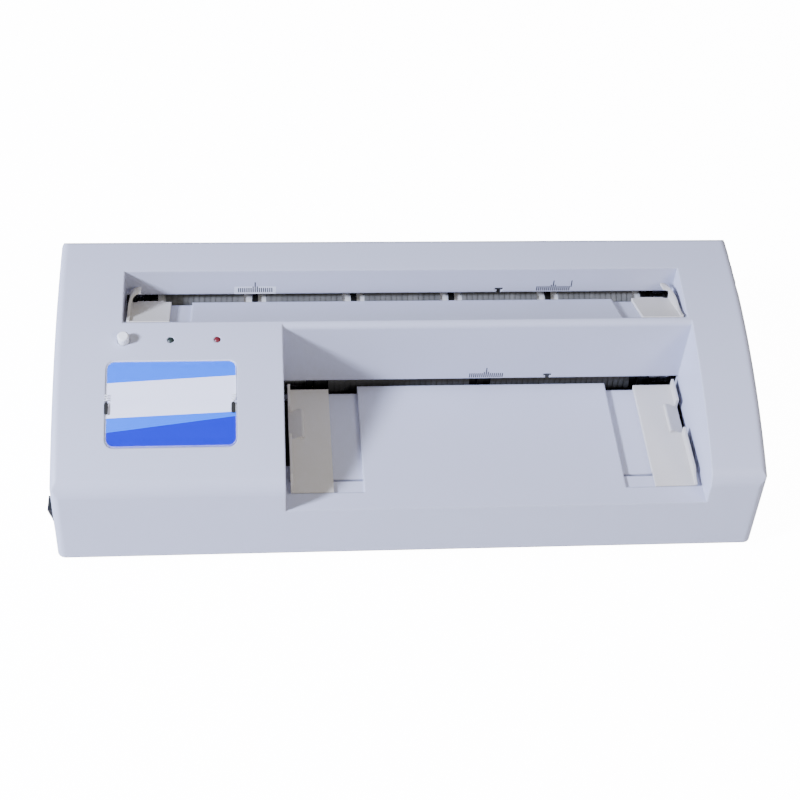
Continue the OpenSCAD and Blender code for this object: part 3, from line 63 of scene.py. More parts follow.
# %% [markdown]
# ## Camera
#
# A photograph can be matched by eye, or by solving for the one camera that puts known corners of the
# machine on the pixels where they are seen. Here the camera was solved for, so it is written down as a
# focal length in pixels, a place, and three angles. The rotation matrix is built from the viewing
# direction, which avoids guessing Euler angles.

# %% Camera from the solved view
focal_px = 1604.951
image_px = 800
sensor_mm = 36
eye = Vector((-0.081679, -0.579602, 0.679272))
yaw, pitch, roll = (math.radians(a) for a in (7.788, 47.6, -4.965))

forward = Vector((math.sin(yaw) * math.cos(pitch), math.cos(yaw) * math.cos(pitch), -math.sin(pitch)))
right = Vector((math.cos(yaw), -math.sin(yaw), 0))
down = forward.cross(right)
image_right = math.cos(roll) * right + math.sin(roll) * down
image_down = -math.sin(roll) * right + math.cos(roll) * down

camera_data = bpy.data.cameras.new("studio_camera")
camera_data.sensor_width = sensor_mm
camera_data.lens = focal_px * sensor_mm / image_px
camera_data.clip_start = 0.05
camera = bpy.data.objects.new("studio_camera", camera_data)
turn = Matrix((image_right, -image_down, -forward)).transposed()
camera.matrix_world = Matrix.Translation(eye) @ turn.to_4x4()
bpy.context.scene.collection.objects.link(camera)
bpy.context.scene.camera = camera
print("lens mm:", round(camera_data.lens, 2))

# %% [markdown]
# ## Floor
#
# The machine stands on a seamless white sheet that is lit so strongly that it burns out to white. A
# floor lit that hard would also throw light back up at the machine, which the side walls don't show.
# The Light Path node tells a material which ray is asking, so the sheet glows for the camera alone and
# stays an ordinary pale grey floor for every other ray.

# %% Helpers for materials
def plain_material(name):
    """A material with its nodes, links and shader at hand."""
    material = bpy.data.materials.new(name)
    material.use_nodes = True
    tree = material.node_tree
    return material, tree, tree.nodes["Principled BSDF"]


def mix_colour(tree, factor, first, second):
    """A colour mix of two colours or sockets. A Mix node has its colours at inputs 6 and 7, output 2."""
    node = tree.nodes.new("ShaderNodeMix")
    node.data_type = "RGBA"
    tree.links.new(factor, node.inputs["Factor"])
    for socket, value in ((node.inputs[6], first), (node.inputs[7], second)):
        if isinstance(value, tuple):
            socket.default_value = (*value, 1)
        else:
            tree.links.new(value, socket)
    return node.outputs[2]


def math_node(tree, operation, first, second=0.0, clamp=False):
    """One Math node, fed by sockets or plain numbers."""
    node = tree.nodes.new("ShaderNodeMath")
    node.operation = operation
    node.use_clamp = clamp
    for index, value in enumerate((first, second)):
        if isinstance(value, (int, float)):
            node.inputs[index].default_value = value
        else:
            tree.links.new(value, node.inputs[index])
    return node.outputs[0]


print("material helpers ready")

# %% White sheet
backdrop_glow = 14.0
half_sheet = 30
sheet_material, tree, shader = plain_material("white_sheet")
mottle = tree.nodes.new("ShaderNodeTexNoise")
mottle.inputs["Scale"].default_value = 40
sheet_colour = mix_colour(tree, mottle.outputs["Fac"], (0.64, 0.64, 0.65), (0.68, 0.68, 0.69))
tree.links.new(sheet_colour, shader.inputs["Base Color"])
shader.inputs["Roughness"].default_value = 0.9
seen_directly = tree.nodes.new("ShaderNodeLightPath").outputs["Is Camera Ray"]
glow = mix_colour(tree, seen_directly, (0.0, 0.0, 0.0), (1.0, 1.0, 1.0))
tree.links.new(glow, shader.inputs["Emission Color"])
shader.inputs["Emission Strength"].default_value = backdrop_glow

sheet_mesh = bpy.data.meshes.new("studio_sheet")
sheet_mesh.from_pydata(
    [(-half_sheet, -half_sheet, 0), (half_sheet, -half_sheet, 0), (half_sheet, half_sheet, 0),
     (-half_sheet, half_sheet, 0)], [], [(0, 1, 2, 3)])
sheet_mesh.materials.append(sheet_material)
sheet = bpy.data.objects.new("studio_sheet", sheet_mesh)
bpy.context.scene.collection.objects.link(sheet)
print("sheet side, m:", 2 * half_sheet)

# %% [markdown]
# ## Light
#
# The shadows in the throats tell where the lights stood. The left walls throw a long, clear shadow and
# the right walls a faint one, so a strong soft box stands far to the left and a weak one at the front
# right. A small box gives a crisp edge to a shadow and a large one a blurred edge. A third box overhead
# would brighten the shaded floors of the throats, but it would also be mirrored in the label. A sky that
# grows brighter towards the zenith does the same work without a glare. The strong box is a little blue
# and the sky a little warm, so that lit faces look cooler than shaded ones. As with the sheet, only the
# camera sees the bright backdrop behind it all.

# %% Soft boxes and sky
def soft_box(name, place, aim, size, power, colour):
    """A square area light that looks at a point."""
    data = bpy.data.lights.new(name, "AREA")
    data.size = size
    data.energy = power
    data.color = colour
    light = bpy.data.objects.new(name, data)
    direction = Vector(aim) - Vector(place)
    light.matrix_world = Matrix.Translation(place) @ direction.to_track_quat("-Z", "Y").to_matrix().to_4x4()
    bpy.context.scene.collection.objects.link(light)


machine_middle = (0, 0, 0.04)
soft_box("left_box", (-1.59, -0.62, 1.09), machine_middle, 0.28, 109, (0.84, 0.92, 1.18))
soft_box("right_box", (0.8, -1.0, 1.0), machine_middle, 0.35, 10, (1.0, 0.97, 0.94))

zenith_strength = 0.65
horizon_strength = 0.09
world = bpy.data.worlds.new("studio_sky")
world.use_nodes = True
tree = world.node_tree
sky = tree.nodes["Background"]
sky.inputs["Color"].default_value = (1.0, 0.98, 0.96, 1)
look = tree.nodes.new("ShaderNodeSeparateXYZ")
tree.links.new(tree.nodes.new("ShaderNodeTexCoord").outputs["Generated"], look.inputs["Vector"])
height = math_node(tree, "MAXIMUM", look.outputs["Z"], 0.0)
ceiling = math_node(tree, "MULTIPLY", math_node(tree, "POWER", height, 2.0), zenith_strength)
seen_directly = tree.nodes.new("ShaderNodeLightPath").outputs["Is Camera Ray"]
backdrop = math_node(tree, "MULTIPLY", seen_directly, backdrop_glow)
dome = math_node(tree, "ADD", ceiling, horizon_strength)
tree.links.new(math_node(tree, "ADD", dome, backdrop), sky.inputs["Strength"])
bpy.context.scene.world = world

# %% [markdown]
# ## Shared effects
#
# Several finishes need the same small effects: the fine spark texture of a mould, the streaks left by a
# lathe or a brush, and edges that are slightly rounded and mixed paler, partly as rubbed wear and partly as
# a painted highlight. Each effect is a node group with its own inputs, so a material only places the group
# and sets its numbers. Coordinates are the object's own, which are metres here, so a scale of 2000 means
# detail about half a millimetre across.

# %% A helper for node groups
def new_group(name, inputs, outputs):
    """An empty shader group with float inputs (name, default) and outputs (name, kind)."""
    group = bpy.data.node_groups.new(name, "ShaderNodeTree")
    for label, value in inputs:
        socket = group.interface.new_socket(label, in_out="INPUT", socket_type="NodeSocketFloat")
        socket.default_value = value
    for label, kind in outputs:
        group.interface.new_socket(label, in_out="OUTPUT", socket_type=kind)
    enter = group.nodes.new("NodeGroupInput")
    leave = group.nodes.new("NodeGroupOutput")
    return group, enter, leave


print("group helper ready")

# %% Mould grain: fine pits and a slow drift of tone
def build_mould_grain():
    group, enter, leave = new_group(
        "mould_grain", [("Grain Scale", 2200), ("Tone Scale", 18)],
        [("Height", "NodeSocketFloat"), ("Tone", "NodeSocketFloat")])
    place = group.nodes.new("ShaderNodeTexCoord").outputs["Object"]
    fine = group.nodes.new("ShaderNodeTexNoise")
    fine.inputs["Detail"].default_value = 4
    group.links.new(place, fine.inputs["Vector"])
    group.links.new(enter.outputs["Grain Scale"], fine.inputs["Scale"])
    slow = group.nodes.new("ShaderNodeTexNoise")
    slow.inputs["Detail"].default_value = 3
    group.links.new(place, slow.inputs["Vector"])
    group.links.new(enter.outputs["Tone Scale"], slow.inputs["Scale"])
    group.links.new(fine.outputs["Fac"], leave.inputs["Height"])
    slow_part = math_node(group, "MULTIPLY", slow.outputs["Fac"], 0.75)
    fine_part = math_node(group, "MULTIPLY", fine.outputs["Fac"], 0.25)
    group.links.new(math_node(group, "ADD", slow_part, fine_part), leave.inputs["Tone"])
    return group


mould_grain = build_mould_grain()
print("group:", mould_grain.name)

# %% Streaks: noise squeezed along chosen axes
def build_streaks():
    group, enter, leave = new_group(
        "streaks", [("Along X", 2000), ("Along Y", 20), ("Along Z", 20)],
        [("Height", "NodeSocketFloat"), ("Tone", "NodeSocketFloat")])
    place = group.nodes.new("ShaderNodeTexCoord").outputs["Object"]
    scale = group.nodes.new("ShaderNodeCombineXYZ")
    for label, axis in (("Along X", "X"), ("Along Y", "Y"), ("Along Z", "Z")):
        group.links.new(enter.outputs[label], scale.inputs[axis])
    stretch = group.nodes.new("ShaderNodeVectorMath")
    stretch.operation = "MULTIPLY"
    group.links.new(place, stretch.inputs[0])
    group.links.new(scale.outputs["Vector"], stretch.inputs[1])
    lines = group.nodes.new("ShaderNodeTexNoise")
    lines.inputs["Scale"].default_value = 1
    lines.inputs["Detail"].default_value = 5
    lines.inputs["Roughness"].default_value = 0.65
    group.links.new(stretch.outputs["Vector"], lines.inputs["Vector"])
    group.links.new(lines.outputs["Fac"], leave.inputs["Height"])
    contrast = group.nodes.new("ShaderNodeMapRange")
    contrast.inputs["From Min"].default_value = 0.3
    contrast.inputs["From Max"].default_value = 0.7
    group.links.new(lines.outputs["Fac"], contrast.inputs["Value"])
    group.links.new(contrast.outputs["Result"], leave.inputs["Tone"])
    return group


streaks = build_streaks()
print("group:", streaks.name)

# %% Rounded edges, mixed paler as rubbed wear and a painted highlight: where a rounded normal leaves the true one
def build_edge_round_and_highlight():
    group, enter, leave = new_group(
        "edge_round_and_highlight", [("Radius", 0.0006), ("Strength", 3.0)],
        [("Mask", "NodeSocketFloat"), ("Normal", "NodeSocketVector")])
    soft = group.nodes.new("ShaderNodeBevel")
    soft.samples = 4
    group.links.new(enter.outputs["Radius"], soft.inputs["Radius"])
    true_normal = group.nodes.new("ShaderNodeNewGeometry").outputs["Normal"]
    dot = group.nodes.new("ShaderNodeVectorMath")
    dot.operation = "DOT_PRODUCT"
    group.links.new(soft.outputs["Normal"], dot.inputs[0])
    group.links.new(true_normal, dot.inputs[1])
    away = math_node(group, "SUBTRACT", 1.0, dot.outputs["Value"])
    strong = math_node(group, "MULTIPLY", away, enter.outputs["Strength"], clamp=True)
    group.links.new(strong, leave.inputs["Mask"])
    group.links.new(soft.outputs["Normal"], leave.inputs["Normal"])
    return group


edge_round_and_highlight = build_edge_round_and_highlight()
print("group:", edge_round_and_highlight.name)

# %% [markdown]
# ## Moulded plastic
#
# The cover, the guides, the base and the small black fittings are all injection moulded. What tells
# them apart is colour, gloss and how coarse the mould's texture is. One function therefore builds them
# all: a pale and a deep tone mixed by slow noise, paler edges that are partly rubbed wear and partly a
# painted highlight, and fine pits as bump on top of the rounded edge.

# %% Helpers for finishes
def place_group(tree, group, values):
    """A group node in a material, with its numbers set."""
    node = tree.nodes.new("ShaderNodeGroup")
    node.node_tree = group
    for label, value in values.items():
        node.inputs[label].default_value = value
    return node


def bump_from(tree, height, distance, strength=1.0, normal=None):
    """A bump of a given depth in metres, laid on another normal if there is one."""
    node = tree.nodes.new("ShaderNodeBump")
    node.inputs["Strength"].default_value = strength
    node.inputs["Distance"].default_value = distance
    tree.links.new(height, node.inputs["Height"])
    if normal is not None:
        tree.links.new(normal, node.inputs["Normal"])
    return node.outputs["Normal"]


def vary(tree, socket, low, high):
    """A value that swings between two numbers as a mask goes from 0 to 1."""
    node = tree.nodes.new("ShaderNodeMapRange")
    node.inputs["To Min"].default_value = low
    node.inputs["To Max"].default_value = high
    tree.links.new(socket, node.inputs["Value"])
    return node.outputs["Result"]


print("finish helpers ready")

# %% Moulded plastics
def moulded(name, deep, pale, rubbed_and_highlit, rough, grain, depth, rub_and_highlight_radius):
    material, tree, shader = plain_material(name)
    texture = place_group(tree, mould_grain, {"Grain Scale": grain, "Tone Scale": 18})
    edges = place_group(tree, edge_round_and_highlight, {"Radius": rub_and_highlight_radius, "Strength": 2.5})
    body = mix_colour(tree, texture.outputs["Tone"], deep, pale)
    # Edges are mixed paler: partly rubbed wear, partly a painted highlight.
    tree.links.new(mix_colour(tree, edges.outputs["Mask"], body, rubbed_and_highlit), shader.inputs["Base Color"])
    uneven = vary(tree, texture.outputs["Tone"], rough - 0.05, rough + 0.05)
    tree.links.new(uneven, shader.inputs["Roughness"])
    pitted = bump_from(tree, texture.outputs["Height"], depth, 0.5, edges.outputs["Normal"])
    tree.links.new(pitted, shader.inputs["Normal"])
    return material


cover_plastic = moulded("cover_plastic", (0.475, 0.488, 0.605), (0.505, 0.518, 0.635), (0.61, 0.62, 0.725),
                        0.50, 2200, 0.00004, 0.0012)
guide_plastic = moulded("guide_plastic", (0.545, 0.52, 0.49), (0.595, 0.57, 0.54), (0.71, 0.685, 0.65),
                        0.42, 1600, 0.00003, 0.0005)
base_plastic = moulded("base_plastic", (0.045, 0.045, 0.05), (0.06, 0.06, 0.066), (0.12, 0.12, 0.125),
                       0.55, 1500, 0.00006, 0.0005)
black_plastic = moulded("black_plastic", (0.012, 0.012, 0.013), (0.022, 0.022, 0.023), (0.06, 0.06, 0.06),
                        0.42, 2600, 0.00003, 0.0004)
button_plastic = moulded("button_plastic", (0.80, 0.81, 0.84), (0.86, 0.87, 0.90), (0.9, 0.9, 0.92),
                         0.32, 2600, 0.00002, 0.0004)
gear_plastic = moulded("gear_plastic", (0.66, 0.63, 0.55), (0.72, 0.70, 0.62), (0.80, 0.78, 0.72),
                       0.38, 1400, 0.00003, 0.0003)
print("plastics:", cover_plastic.name, guide_plastic.name, base_plastic.name, black_plastic.name)

# %% [markdown]
# ## Metal and rubber
#
# Shafts, discs and collars are turned, so their marks run round the roller's axis, which lies along X.
# Sheet parts are rolled and plated, with faint long streaks. Both come from the streak group with
# different numbers. The feed sleeves are grey rubber, ground across, which gives the pale and dark
# bars that show between the cutters.

# %% Metals
def metal(name, dark, light, rough, lines, depth):
    material, tree, shader = plain_material(name)
    shader.inputs["Metallic"].default_value = 1.0
    marks = place_group(tree, streaks, dict(zip(("Along X", "Along Y", "Along Z"), lines)))
    edges = place_group(tree, edge_round_and_highlight, {"Radius": 0.0003, "Strength": 2.0})
    body = mix_colour(tree, marks.outputs["Tone"], dark, light)
    # Edges are mixed brighter: partly rubbed wear, partly a painted highlight.
    rubbed_and_highlit_edge = tuple(min(1.0, c * 1.25) for c in light)
    tree.links.new(mix_colour(tree, edges.outputs["Mask"], body, rubbed_and_highlit_edge), shader.inputs["Base Color"])
    uneven = vary(tree, marks.outputs["Tone"], rough + 0.08, rough - 0.04)
    tree.links.new(uneven, shader.inputs["Roughness"])
    scored = bump_from(tree, marks.outputs["Height"], depth, 0.4, edges.outputs["Normal"])
    tree.links.new(scored, shader.inputs["Normal"])
    return material


turned_lines = (2600, 30, 30)
turned_steel = metal("turned_steel", (0.50, 0.51, 0.53), (0.66, 0.67, 0.69), 0.28, turned_lines, 0.00002)
# Near-black steel for the cutter discs and the lower collars is painted shade: these parts sit in the
# slots' shadow.
steel_painted_shade = metal("steel_painted_shade", (0.012, 0.012, 0.013), (0.03, 0.03, 0.032), 0.42, turned_lines, 0.00001)
plate_steel = metal("plate_steel", (0.42, 0.43, 0.45), (0.56, 0.57, 0.59), 0.36, (40, 900, 60), 0.00002)
# The chute is painted near-black as shade, so no light shows through the nips.
chute_painted_shade = metal("chute_painted_shade", (0.05, 0.05, 0.052), (0.09, 0.09, 0.092), 0.45, (900, 40, 60), 0.00002)
motor_steel = metal("motor_steel", (0.38, 0.39, 0.41), (0.50, 0.51, 0.53), 0.32, (900, 40, 40), 0.00002)
brass_metal = metal("brass_metal", (0.48, 0.33, 0.12), (0.64, 0.46, 0.19), 0.32, turned_lines, 0.00002)
print("metals:", turned_steel.name, steel_painted_shade.name, plate_steel.name, brass_metal.name)

# %% Collars: a painted sheen of bright satin steel between the outermost cutters, painted shade of near-black outside them
def collar_finish(name, middle, reach):
    material, tree, shader = plain_material(name)
    marks = place_group(tree, streaks, dict(zip(("Along X", "Along Y", "Along Z"), turned_lines)))
    # The bright satin tone, brighter than other steel, is a painted sheen.
    satin_painted_sheen = mix_colour(tree, marks.outputs["Tone"], (0.74, 0.74, 0.76), (0.90, 0.90, 0.91))
    spot = tree.nodes.new("ShaderNodeSeparateXYZ")
    tree.links.new(tree.nodes.new("ShaderNodeTexCoord").outputs["Object"], spot.inputs["Vector"])
    off_middle = math_node(tree, "ABSOLUTE", math_node(tree, "SUBTRACT", spot.outputs["X"], middle))
    # Beyond the outermost cutters the collars are painted near-black as shade.
    outside_painted_shade = math_node(tree, "GREATER_THAN", off_middle, reach)
    tree.links.new(mix_colour(tree, outside_painted_shade, satin_painted_sheen, (0.01, 0.01, 0.011)), shader.inputs["Base Color"])
    tree.links.new(vary(tree, marks.outputs["Tone"], 0.43, 0.31), shader.inputs["Roughness"])
    tree.links.new(bump_from(tree, marks.outputs["Height"], 0.00001, 0.4), shader.inputs["Normal"])
    shader.inputs["Metallic"].default_value = 0.5
    return material


stations_middle = 0.0013
outermost_cutter = 0.1352
collar_sheen_and_shade = collar_finish("collar_sheen_and_shade", stations_middle, outermost_cutter)
print("collars:", collar_sheen_and_shade.name)

# %% Feed rubber and foot rubber
def rubber(name, dark, light, rough, lines, depth):
    material, tree, shader = plain_material(name)
    marks = place_group(tree, streaks, dict(zip(("Along X", "Along Y", "Along Z"), lines)))
    tree.links.new(mix_colour(tree, marks.outputs["Tone"], dark, light), shader.inputs["Base Color"])
    tree.links.new(vary(tree, marks.outputs["Tone"], rough, rough - 0.12), shader.inputs["Roughness"])
    tree.links.new(bump_from(tree, marks.outputs["Height"], depth, 0.6), shader.inputs["Normal"])
    return material


upper_sleeve_rubber = rubber("upper_sleeve_rubber", (0.085, 0.085, 0.085), (0.16, 0.158, 0.155), 0.55,
                             (110, 25, 25), 0.00008)
# The lower sleeves are the same rubber painted darker: painted shade in the lower slot.
lower_sleeve_painted_shade = rubber("lower_sleeve_painted_shade", (0.028, 0.028, 0.03), (0.055, 0.055, 0.057), 0.55,
                             (110, 25, 25), 0.00008)
foot_rubber = rubber("foot_rubber", (0.012, 0.012, 0.012), (0.03, 0.03, 0.03), 0.8,
                     (600, 600, 600), 0.00006)
print("rubbers:", upper_sleeve_rubber.name, lower_sleeve_painted_shade.name, foot_rubber.name)

# %% [markdown]
# ## Lamps, label and window
#
# The two lamps are tinted lenses that are not lit. The label is a printed card: its straight slanting
# bands are drawn with slanting lines across the card, so no picture is needed. A clear window lies over it.
# A real pane of glass would need caustics to light the card, so the pane is mostly transparent and
# keeps only its gloss and a pale edge, which is a painted highlight.

# %% Lamp lenses
def lens(name, deep, pale):
    material, tree, shader = plain_material(name)
    texture = place_group(tree, mould_grain, {"Grain Scale": 900, "Tone Scale": 300})
    tree.links.new(mix_colour(tree, texture.outputs["Tone"], deep, pale), shader.inputs["Base Color"])
    shader.inputs["Roughness"].default_value = 0.45
    return material


green_lens = lens("green_lens", (0.006, 0.016, 0.015), (0.014, 0.03, 0.026))
red_lens = lens("red_lens", (0.11, 0.004, 0.012), (0.16, 0.008, 0.02))
print("lenses:", green_lens.name, red_lens.name)

# %% Printed label card
def printed_card(name, low, high):
    """Bands of blue on white, placed by the card's own box."""
    material, tree, shader = plain_material(name)
    spot = tree.nodes.new("ShaderNodeSeparateXYZ")
    tree.links.new(tree.nodes.new("ShaderNodeTexCoord").outputs["Object"], spot.inputs["Vector"])
    across, along = (
        math_node(tree, "DIVIDE", math_node(tree, "SUBTRACT", spot.outputs[axis], low[i]), high[i] - low[i])
        for i, axis in ((0, "X"), (1, "Y")))

    def above(level, slant):
        """Where the card lies above a line, given by its height at the left end and its slant."""
        edge = math_node(tree, "ADD", math_node(tree, "MULTIPLY", across, slant), level)
        return math_node(tree, "GREATER_THAN", along, edge)

    paper = place_group(tree, mould_grain, {"Grain Scale": 1200, "Tone Scale": 60})
    white = mix_colour(tree, paper.outputs["Tone"], (0.80, 0.81, 0.99), (0.85, 0.86, 1.0))
    sky = mix_colour(tree, paper.outputs["Tone"], (0.002, 0.14, 0.96), (0.004, 0.155, 1.0))
    royal = mix_colour(tree, paper.outputs["Tone"], (0.0, 0.004, 0.50), (0.001, 0.006, 0.55))
    white_top, white_foot, royal_top = (0.74, 0.08), (0.33, 0.06), (0.17, 0.17)
    print_colour = mix_colour(tree, above(*white_top), white, sky)
    print_colour = mix_colour(tree, above(*white_foot), sky, print_colour)
    print_colour = mix_colour(tree, above(*royal_top), royal, print_colour)
    tree.links.new(print_colour, shader.inputs["Base Color"])
    tree.links.new(vary(tree, paper.outputs["Tone"], 0.40, 0.52), shader.inputs["Roughness"])
    shader.inputs["Specular IOR Level"].default_value = 0.08
    tree.links.new(bump_from(tree, paper.outputs["Height"], 0.00002, 0.3), shader.inputs["Normal"])
    return material


card_print = printed_card("card_print", *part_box("label_card"))

# %% Clear window
def clear_window(name):
    material, tree, shader = plain_material(name)
    edges = place_group(tree, edge_round_and_highlight, {"Radius": 0.0012, "Strength": 3.0})
    shader.inputs["Base Color"].default_value = (0.94, 0.95, 1.0, 1)
    shader.inputs["Roughness"].default_value = 0.08
    # The opaque pale rim along the edges is a painted highlight.
    tree.links.new(vary(tree, edges.outputs["Mask"], 0.004, 0.9), shader.inputs["Alpha"])
    return material


window_acrylic = clear_window("window_acrylic")
print("window:", window_acrylic.name)

# %% Board lacquer
def board_lacquer(name):
    """Green lacquer with the faint pattern of copper tracks under it."""
    material, tree, shader = plain_material(name)
    tracks = tree.nodes.new("ShaderNodeTexBrick")
    tracks.inputs["Scale"].default_value = 180
    tracks.inputs["Color1"].default_value = (0.012, 0.11, 0.04, 1)
    tracks.inputs["Color2"].default_value = (0.02, 0.16, 0.06, 1)
    tracks.inputs["Mortar"].default_value = (0.008, 0.06, 0.02, 1)
    tree.links.new(tree.nodes.new("ShaderNodeTexCoord").outputs["Object"], tracks.inputs["Vector"])
    tree.links.new(tracks.outputs["Color"], shader.inputs["Base Color"])
    shader.inputs["Roughness"].default_value = 0.25
    return material


lacquer = board_lacquer("board_lacquer")
print("board:", lacquer.name)

# %% [markdown]
# ## Giving each part its finish
#
# The record says which slot each part belongs to, such as cover, guide or steel. A table from slot to
# finish dresses most parts. A few parts need their own: the collars carry a painted sheen brighter than
# other steel, the lower rollers are painted darker than the upper ones as painted shade, and the chute is
# painted near-black as shade so that it doesn't shine through the slots.

# %% Assign the finishes
finish_of_slot = {
    "cover": cover_plastic, "base": base_plastic, "feet": foot_rubber, "steel": turned_steel,
    "plate": plate_steel, "cutter": steel_painted_shade, "sleeve": upper_sleeve_rubber, "guide": guide_plastic,
    "gear": gear_plastic, "brass": brass_metal, "label": card_print, "window": window_acrylic,
    "green": green_lens, "red": red_lens, "button": button_plastic, "board": lacquer,
    "black": black_plastic, "motor": motor_steel,
}
own_finish = {"card_chute": chute_painted_shade}
for roller in ("upper_drive", "upper_idle"):
    own_finish[roller + "_collars"] = collar_sheen_and_shade
for roller in ("lower_drive", "lower_idle"):
    own_finish[roller + "_collars"] = steel_painted_shade
    own_finish[roller + "_sleeves"] = lower_sleeve_painted_shade
for part in frame["record"]["subparts"]:
    material = own_finish.get(part["node"], finish_of_slot[part["material_slot"]])
    mesh = nodes[part["node"]].data
    mesh.materials.clear()
    mesh.materials.append(material)

# %% [markdown]
# ## Printed scales and marks
#
# Above the slots stand short rows of fine dark lines that help to centre a sheet. They could be painted
# with a texture, but each line is thinner than a texel would be, so they are built as a real mesh: each
# line is a small outline, raised a few hundredths of a millimetre off the wall, as thick ink would be.
# The same helper makes the marks on the rocker switch and the dark slabs painted as shade in the notches
# at the label's ends, because it takes any outline and any surface: a point on it and the two directions
# that lie in it.

# %% Raised outlines
def raised(name, outlines, spot, across, up, thick, material):
    """Closed slabs on a surface. Outlines are lists of (across, up) points in millimetres."""
    across, up = Vector(across).normalized(), Vector(up).normalized()
    out = across.cross(up)
    made = bmesh.new()
    for outline in outlines:
        rings = []
        for lift in (0.0, thick):
            rings.append([
                made.verts.new((Vector(spot) + across * u + up * v + out * lift) / 1000)
                for u, v in outline])
        foot, top = rings
        made.faces.new(top)
        made.faces.new(foot[::-1])
        for i in range(len(outline)):
            k = (i + 1) % len(outline)
            made.faces.new((foot[i], foot[k], top[k], top[i]))
    mesh = bpy.data.meshes.new(name)
    made.to_mesh(mesh)
    made.free()
    mesh.materials.append(material)
    piece = bpy.data.objects.new(name, mesh)
    bpy.context.scene.collection.objects.link(piece)
    return piece


def strip(u0, u1, v0, v1):
    """Four corners of an upright strip."""
    return [(u0, v0), (u1, v0), (u1, v1), (u0, v1)]


print("outline helper ready")

# %% Scales above the slots
ink = moulded("scale_ink", (0.02, 0.02, 0.03), (0.035, 0.035, 0.045), (0.05, 0.05, 0.06), 0.6, 1800,
              0.00001, 0.0001)
backing = moulded("scale_backing", (0.66, 0.68, 0.78), (0.72, 0.74, 0.84), (0.8, 0.82, 0.9), 0.5, 1800,
                  0.00001, 0.0002)
line_half = 0.29
line_step = 1.12
ink_thick = 0.04


def scale_lines(end_mark=None, count=17, short=3.2, tall=7.4):
    """Lines of a scale, tall in the middle and a little taller beside it, with an end mark or none."""
    lines = []
    for index in range(count):
        offset = index - count // 2
        height = tall if offset == 0 else short + 1.0 * (abs(offset) == 1)
        lines.append(strip(offset * line_step - line_half, offset * line_step + line_half, 0, height))
    if end_mark is not None:
        lines.append(strip(end_mark - line_half, end_mark + line_half, 0.8 * short, tall))
    return lines


upper_wall_y, upper_wall_z = 50.7, 70.06
lower_wall_y, lower_wall_z = 13.3, 40.8
left_scale_x = -79.5
backing_thick = 0.05
sideways, upright = (1, 0, 0), (0, 0, 1)
backing_sheet = raised("scale_sheet", [strip(-11.2, 11.2, -0.7, 4.6)],
                       (left_scale_x, upper_wall_y, upper_wall_z + 0.8), sideways, upright,
                       backing_thick, backing)
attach(backing_sheet, "machine")
for name, x, wall_y, wall_z, lift, end_mark in (
        ("upper_left_scale", left_scale_x, upper_wall_y - backing_thick, upper_wall_z, 1.4, None),
        ("upper_right_scale", 83.8, upper_wall_y, upper_wall_z, 1.0, 10.0),
        ("lower_scale", 45.5, lower_wall_y, lower_wall_z, 0.8, None)):
    lines = scale_lines(end_mark)
    piece = raised(name, lines, (x, wall_y, wall_z + lift), sideways, upright, ink_thick, ink)
    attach(piece, "machine")
    print("scale:", name, "lines:", len(lines))

# %% [markdown]
# ## Label notches and switch marks
#
# At each end of the clear window a small dark slab is painted as the shade in the window's notch, with
# three pale ribs behind it for a fingernail. On the rocker stand the usual stroke and ring for on and off.
# All of them lie on leaning faces, so each face has its own direction "up". The marks ride with the
# rocker, so they tip when it tips.

# %% Label notches: dark slabs as painted shade
def rounded_bar(half_w, half_l, middle=0.0, steps=8):
    """Outline of an upright bar with round ends."""
    turns = [math.pi * i / steps for i in range(steps + 1)]
    straight = half_l - half_w
    over = [(half_w * math.cos(a), middle + straight + half_w * math.sin(a)) for a in turns]
    under = [(-half_w * math.cos(a), middle - straight - half_w * math.sin(a)) for a in turns]
    return over + under


lean = math.radians(19.8)
notch_up = (0, math.cos(lean), math.sin(lean))
notch_slab_thick, rib_thick = 0.2, 0.3
rib_half, rib_rise, rib_step = 0.28, 4.5, 1.3
for name, x, y, z, half_w, half_l in (
        ("left_notch", -155.5, -31.5, 70.05, 0.95, 3.4), ("right_notch", -91.5, -31.8, 69.95, 1.05, 3.1)):
    # Each dark slab is painted shade, standing for the hollow of the window's notch.
    notch_shade_slab = raised(name, [rounded_bar(half_w, half_l)], (x, y, z), sideways, notch_up, notch_slab_thick,
                  black_plastic)
    ribs = [strip(-half_w, half_w, rib_rise + k * rib_step - rib_half, rib_rise + k * rib_step + rib_half)
            for k in range(3)]
    rib_piece = raised(name + "_ribs", ribs, (x, y, z), sideways, notch_up, rib_thick, button_plastic)
    for piece, slot in ((notch_shade_slab, "black"), (rib_piece, "button")):
        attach(piece, "machine")
    print("clip:", name, "ribs:", len(ribs))

# %% Switch marks
def ring_parts(inner, outer, count=24):
    """A ring cut into short four-sided pieces."""
    def at(radius, k):
        angle = 2 * math.pi * k / count
        return radius * math.cos(angle), radius * math.sin(angle)
    return [[at(inner, k), at(outer, k), at(outer, k + 1), at(inner, k + 1)] for k in range(count)]


switch_side = (0, -1, 0)
mark_thick = 0.06
for name, outlines, spot, face_up in (
        ("on_mark", [strip(-0.3, 0.3, -1.6, 1.6)], (-185.58, -58, 24.41), (-0.2557, 0, 0.967)),
        ("off_mark", ring_parts(1.1, 1.6), (-184.06, -58, 15.77), (-0.0903, 0, 0.996))):
    mark = raised(name, outlines, spot, switch_side, face_up, mark_thick, button_plastic)
    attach(mark, "rocker_arm")
    print("switch mark:", name)
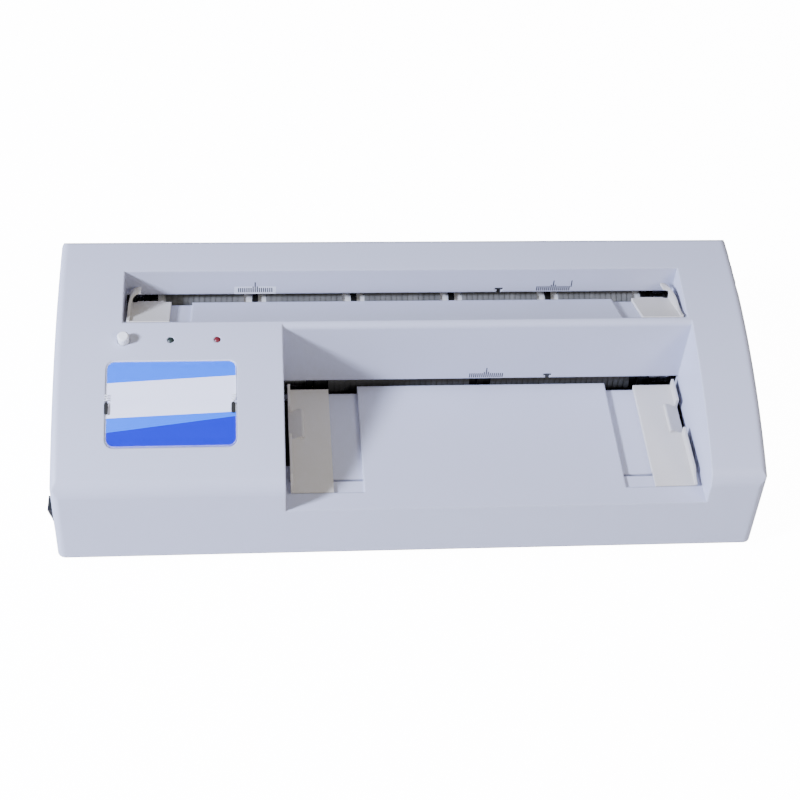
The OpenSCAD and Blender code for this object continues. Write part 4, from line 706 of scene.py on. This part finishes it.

# %% [markdown]
# ## Return spring
#
# Under the button stands a spring, which the solid model keeps as a plain sleeve. Here it is wound as
# one round wire: a small circle is carried along a helix, ring after ring, and the two ends are closed.
# The sleeve's box gives its radius, its length and its middle, so nothing is measured twice. When the
# button goes down the wire stays at its full height.

# %% Wind the spring
def wound_wire(name, foot, axis, length, radius, wire, turns, material, ring=8, steps=20):
    """A closed round wire along a helix about an axis that lies square to X."""
    side = Vector((1, 0, 0))
    front = axis.cross(side)
    made = bmesh.new()
    rings = []
    for i in range(turns * steps + 1):
        angle = 2 * math.pi * i / steps
        outward = side * math.cos(angle) + front * math.sin(angle)
        rise = wire + (length - 2 * wire) * i / (turns * steps)
        middle = foot + axis * rise + outward * (radius - wire)
        rings.append([
            made.verts.new(middle + (outward * math.cos(a) + axis * math.sin(a)) * wire)
            for a in (2 * math.pi * k / ring for k in range(ring))])
    for first, second in zip(rings, rings[1:]):
        for k in range(ring):
            made.faces.new((first[k], second[k], second[(k + 1) % ring], first[(k + 1) % ring]))
    made.faces.new(rings[0])
    made.faces.new(rings[-1][::-1])
    bmesh.ops.recalc_face_normals(made, faces=made.faces)
    mesh = bpy.data.meshes.new(name)
    made.to_mesh(mesh)
    made.free()
    mesh.shade_smooth()
    mesh.materials.append(material)
    piece = bpy.data.objects.new(name, mesh)
    bpy.context.scene.collection.objects.link(piece)
    return piece


press = next(j for j in frame["record"]["behaviour"]["joints"] if j["name"] == "button_press")
spring_axis = -Vector(press["axis"])
low, high = (Vector(corner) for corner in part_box("button_spring"))
spring_radius = (high.x - low.x) / 2
spring_length = (high.z - low.z - 2 * spring_radius * abs(spring_axis.y)) / spring_axis.z
spring_foot = (low + high) / 2 - spring_axis * spring_length / 2
spring_wire = 0.00035
spring_turns = 6
spring = wound_wire("return_spring", spring_foot, spring_axis, spring_length, spring_radius, spring_wire,
                    spring_turns, turned_steel)
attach(spring, "machine")
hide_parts("button_spring")
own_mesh(spring)
print("spring mm:", round(1000 * spring_length, 2), "long,", round(2000 * spring_radius, 2), "across")
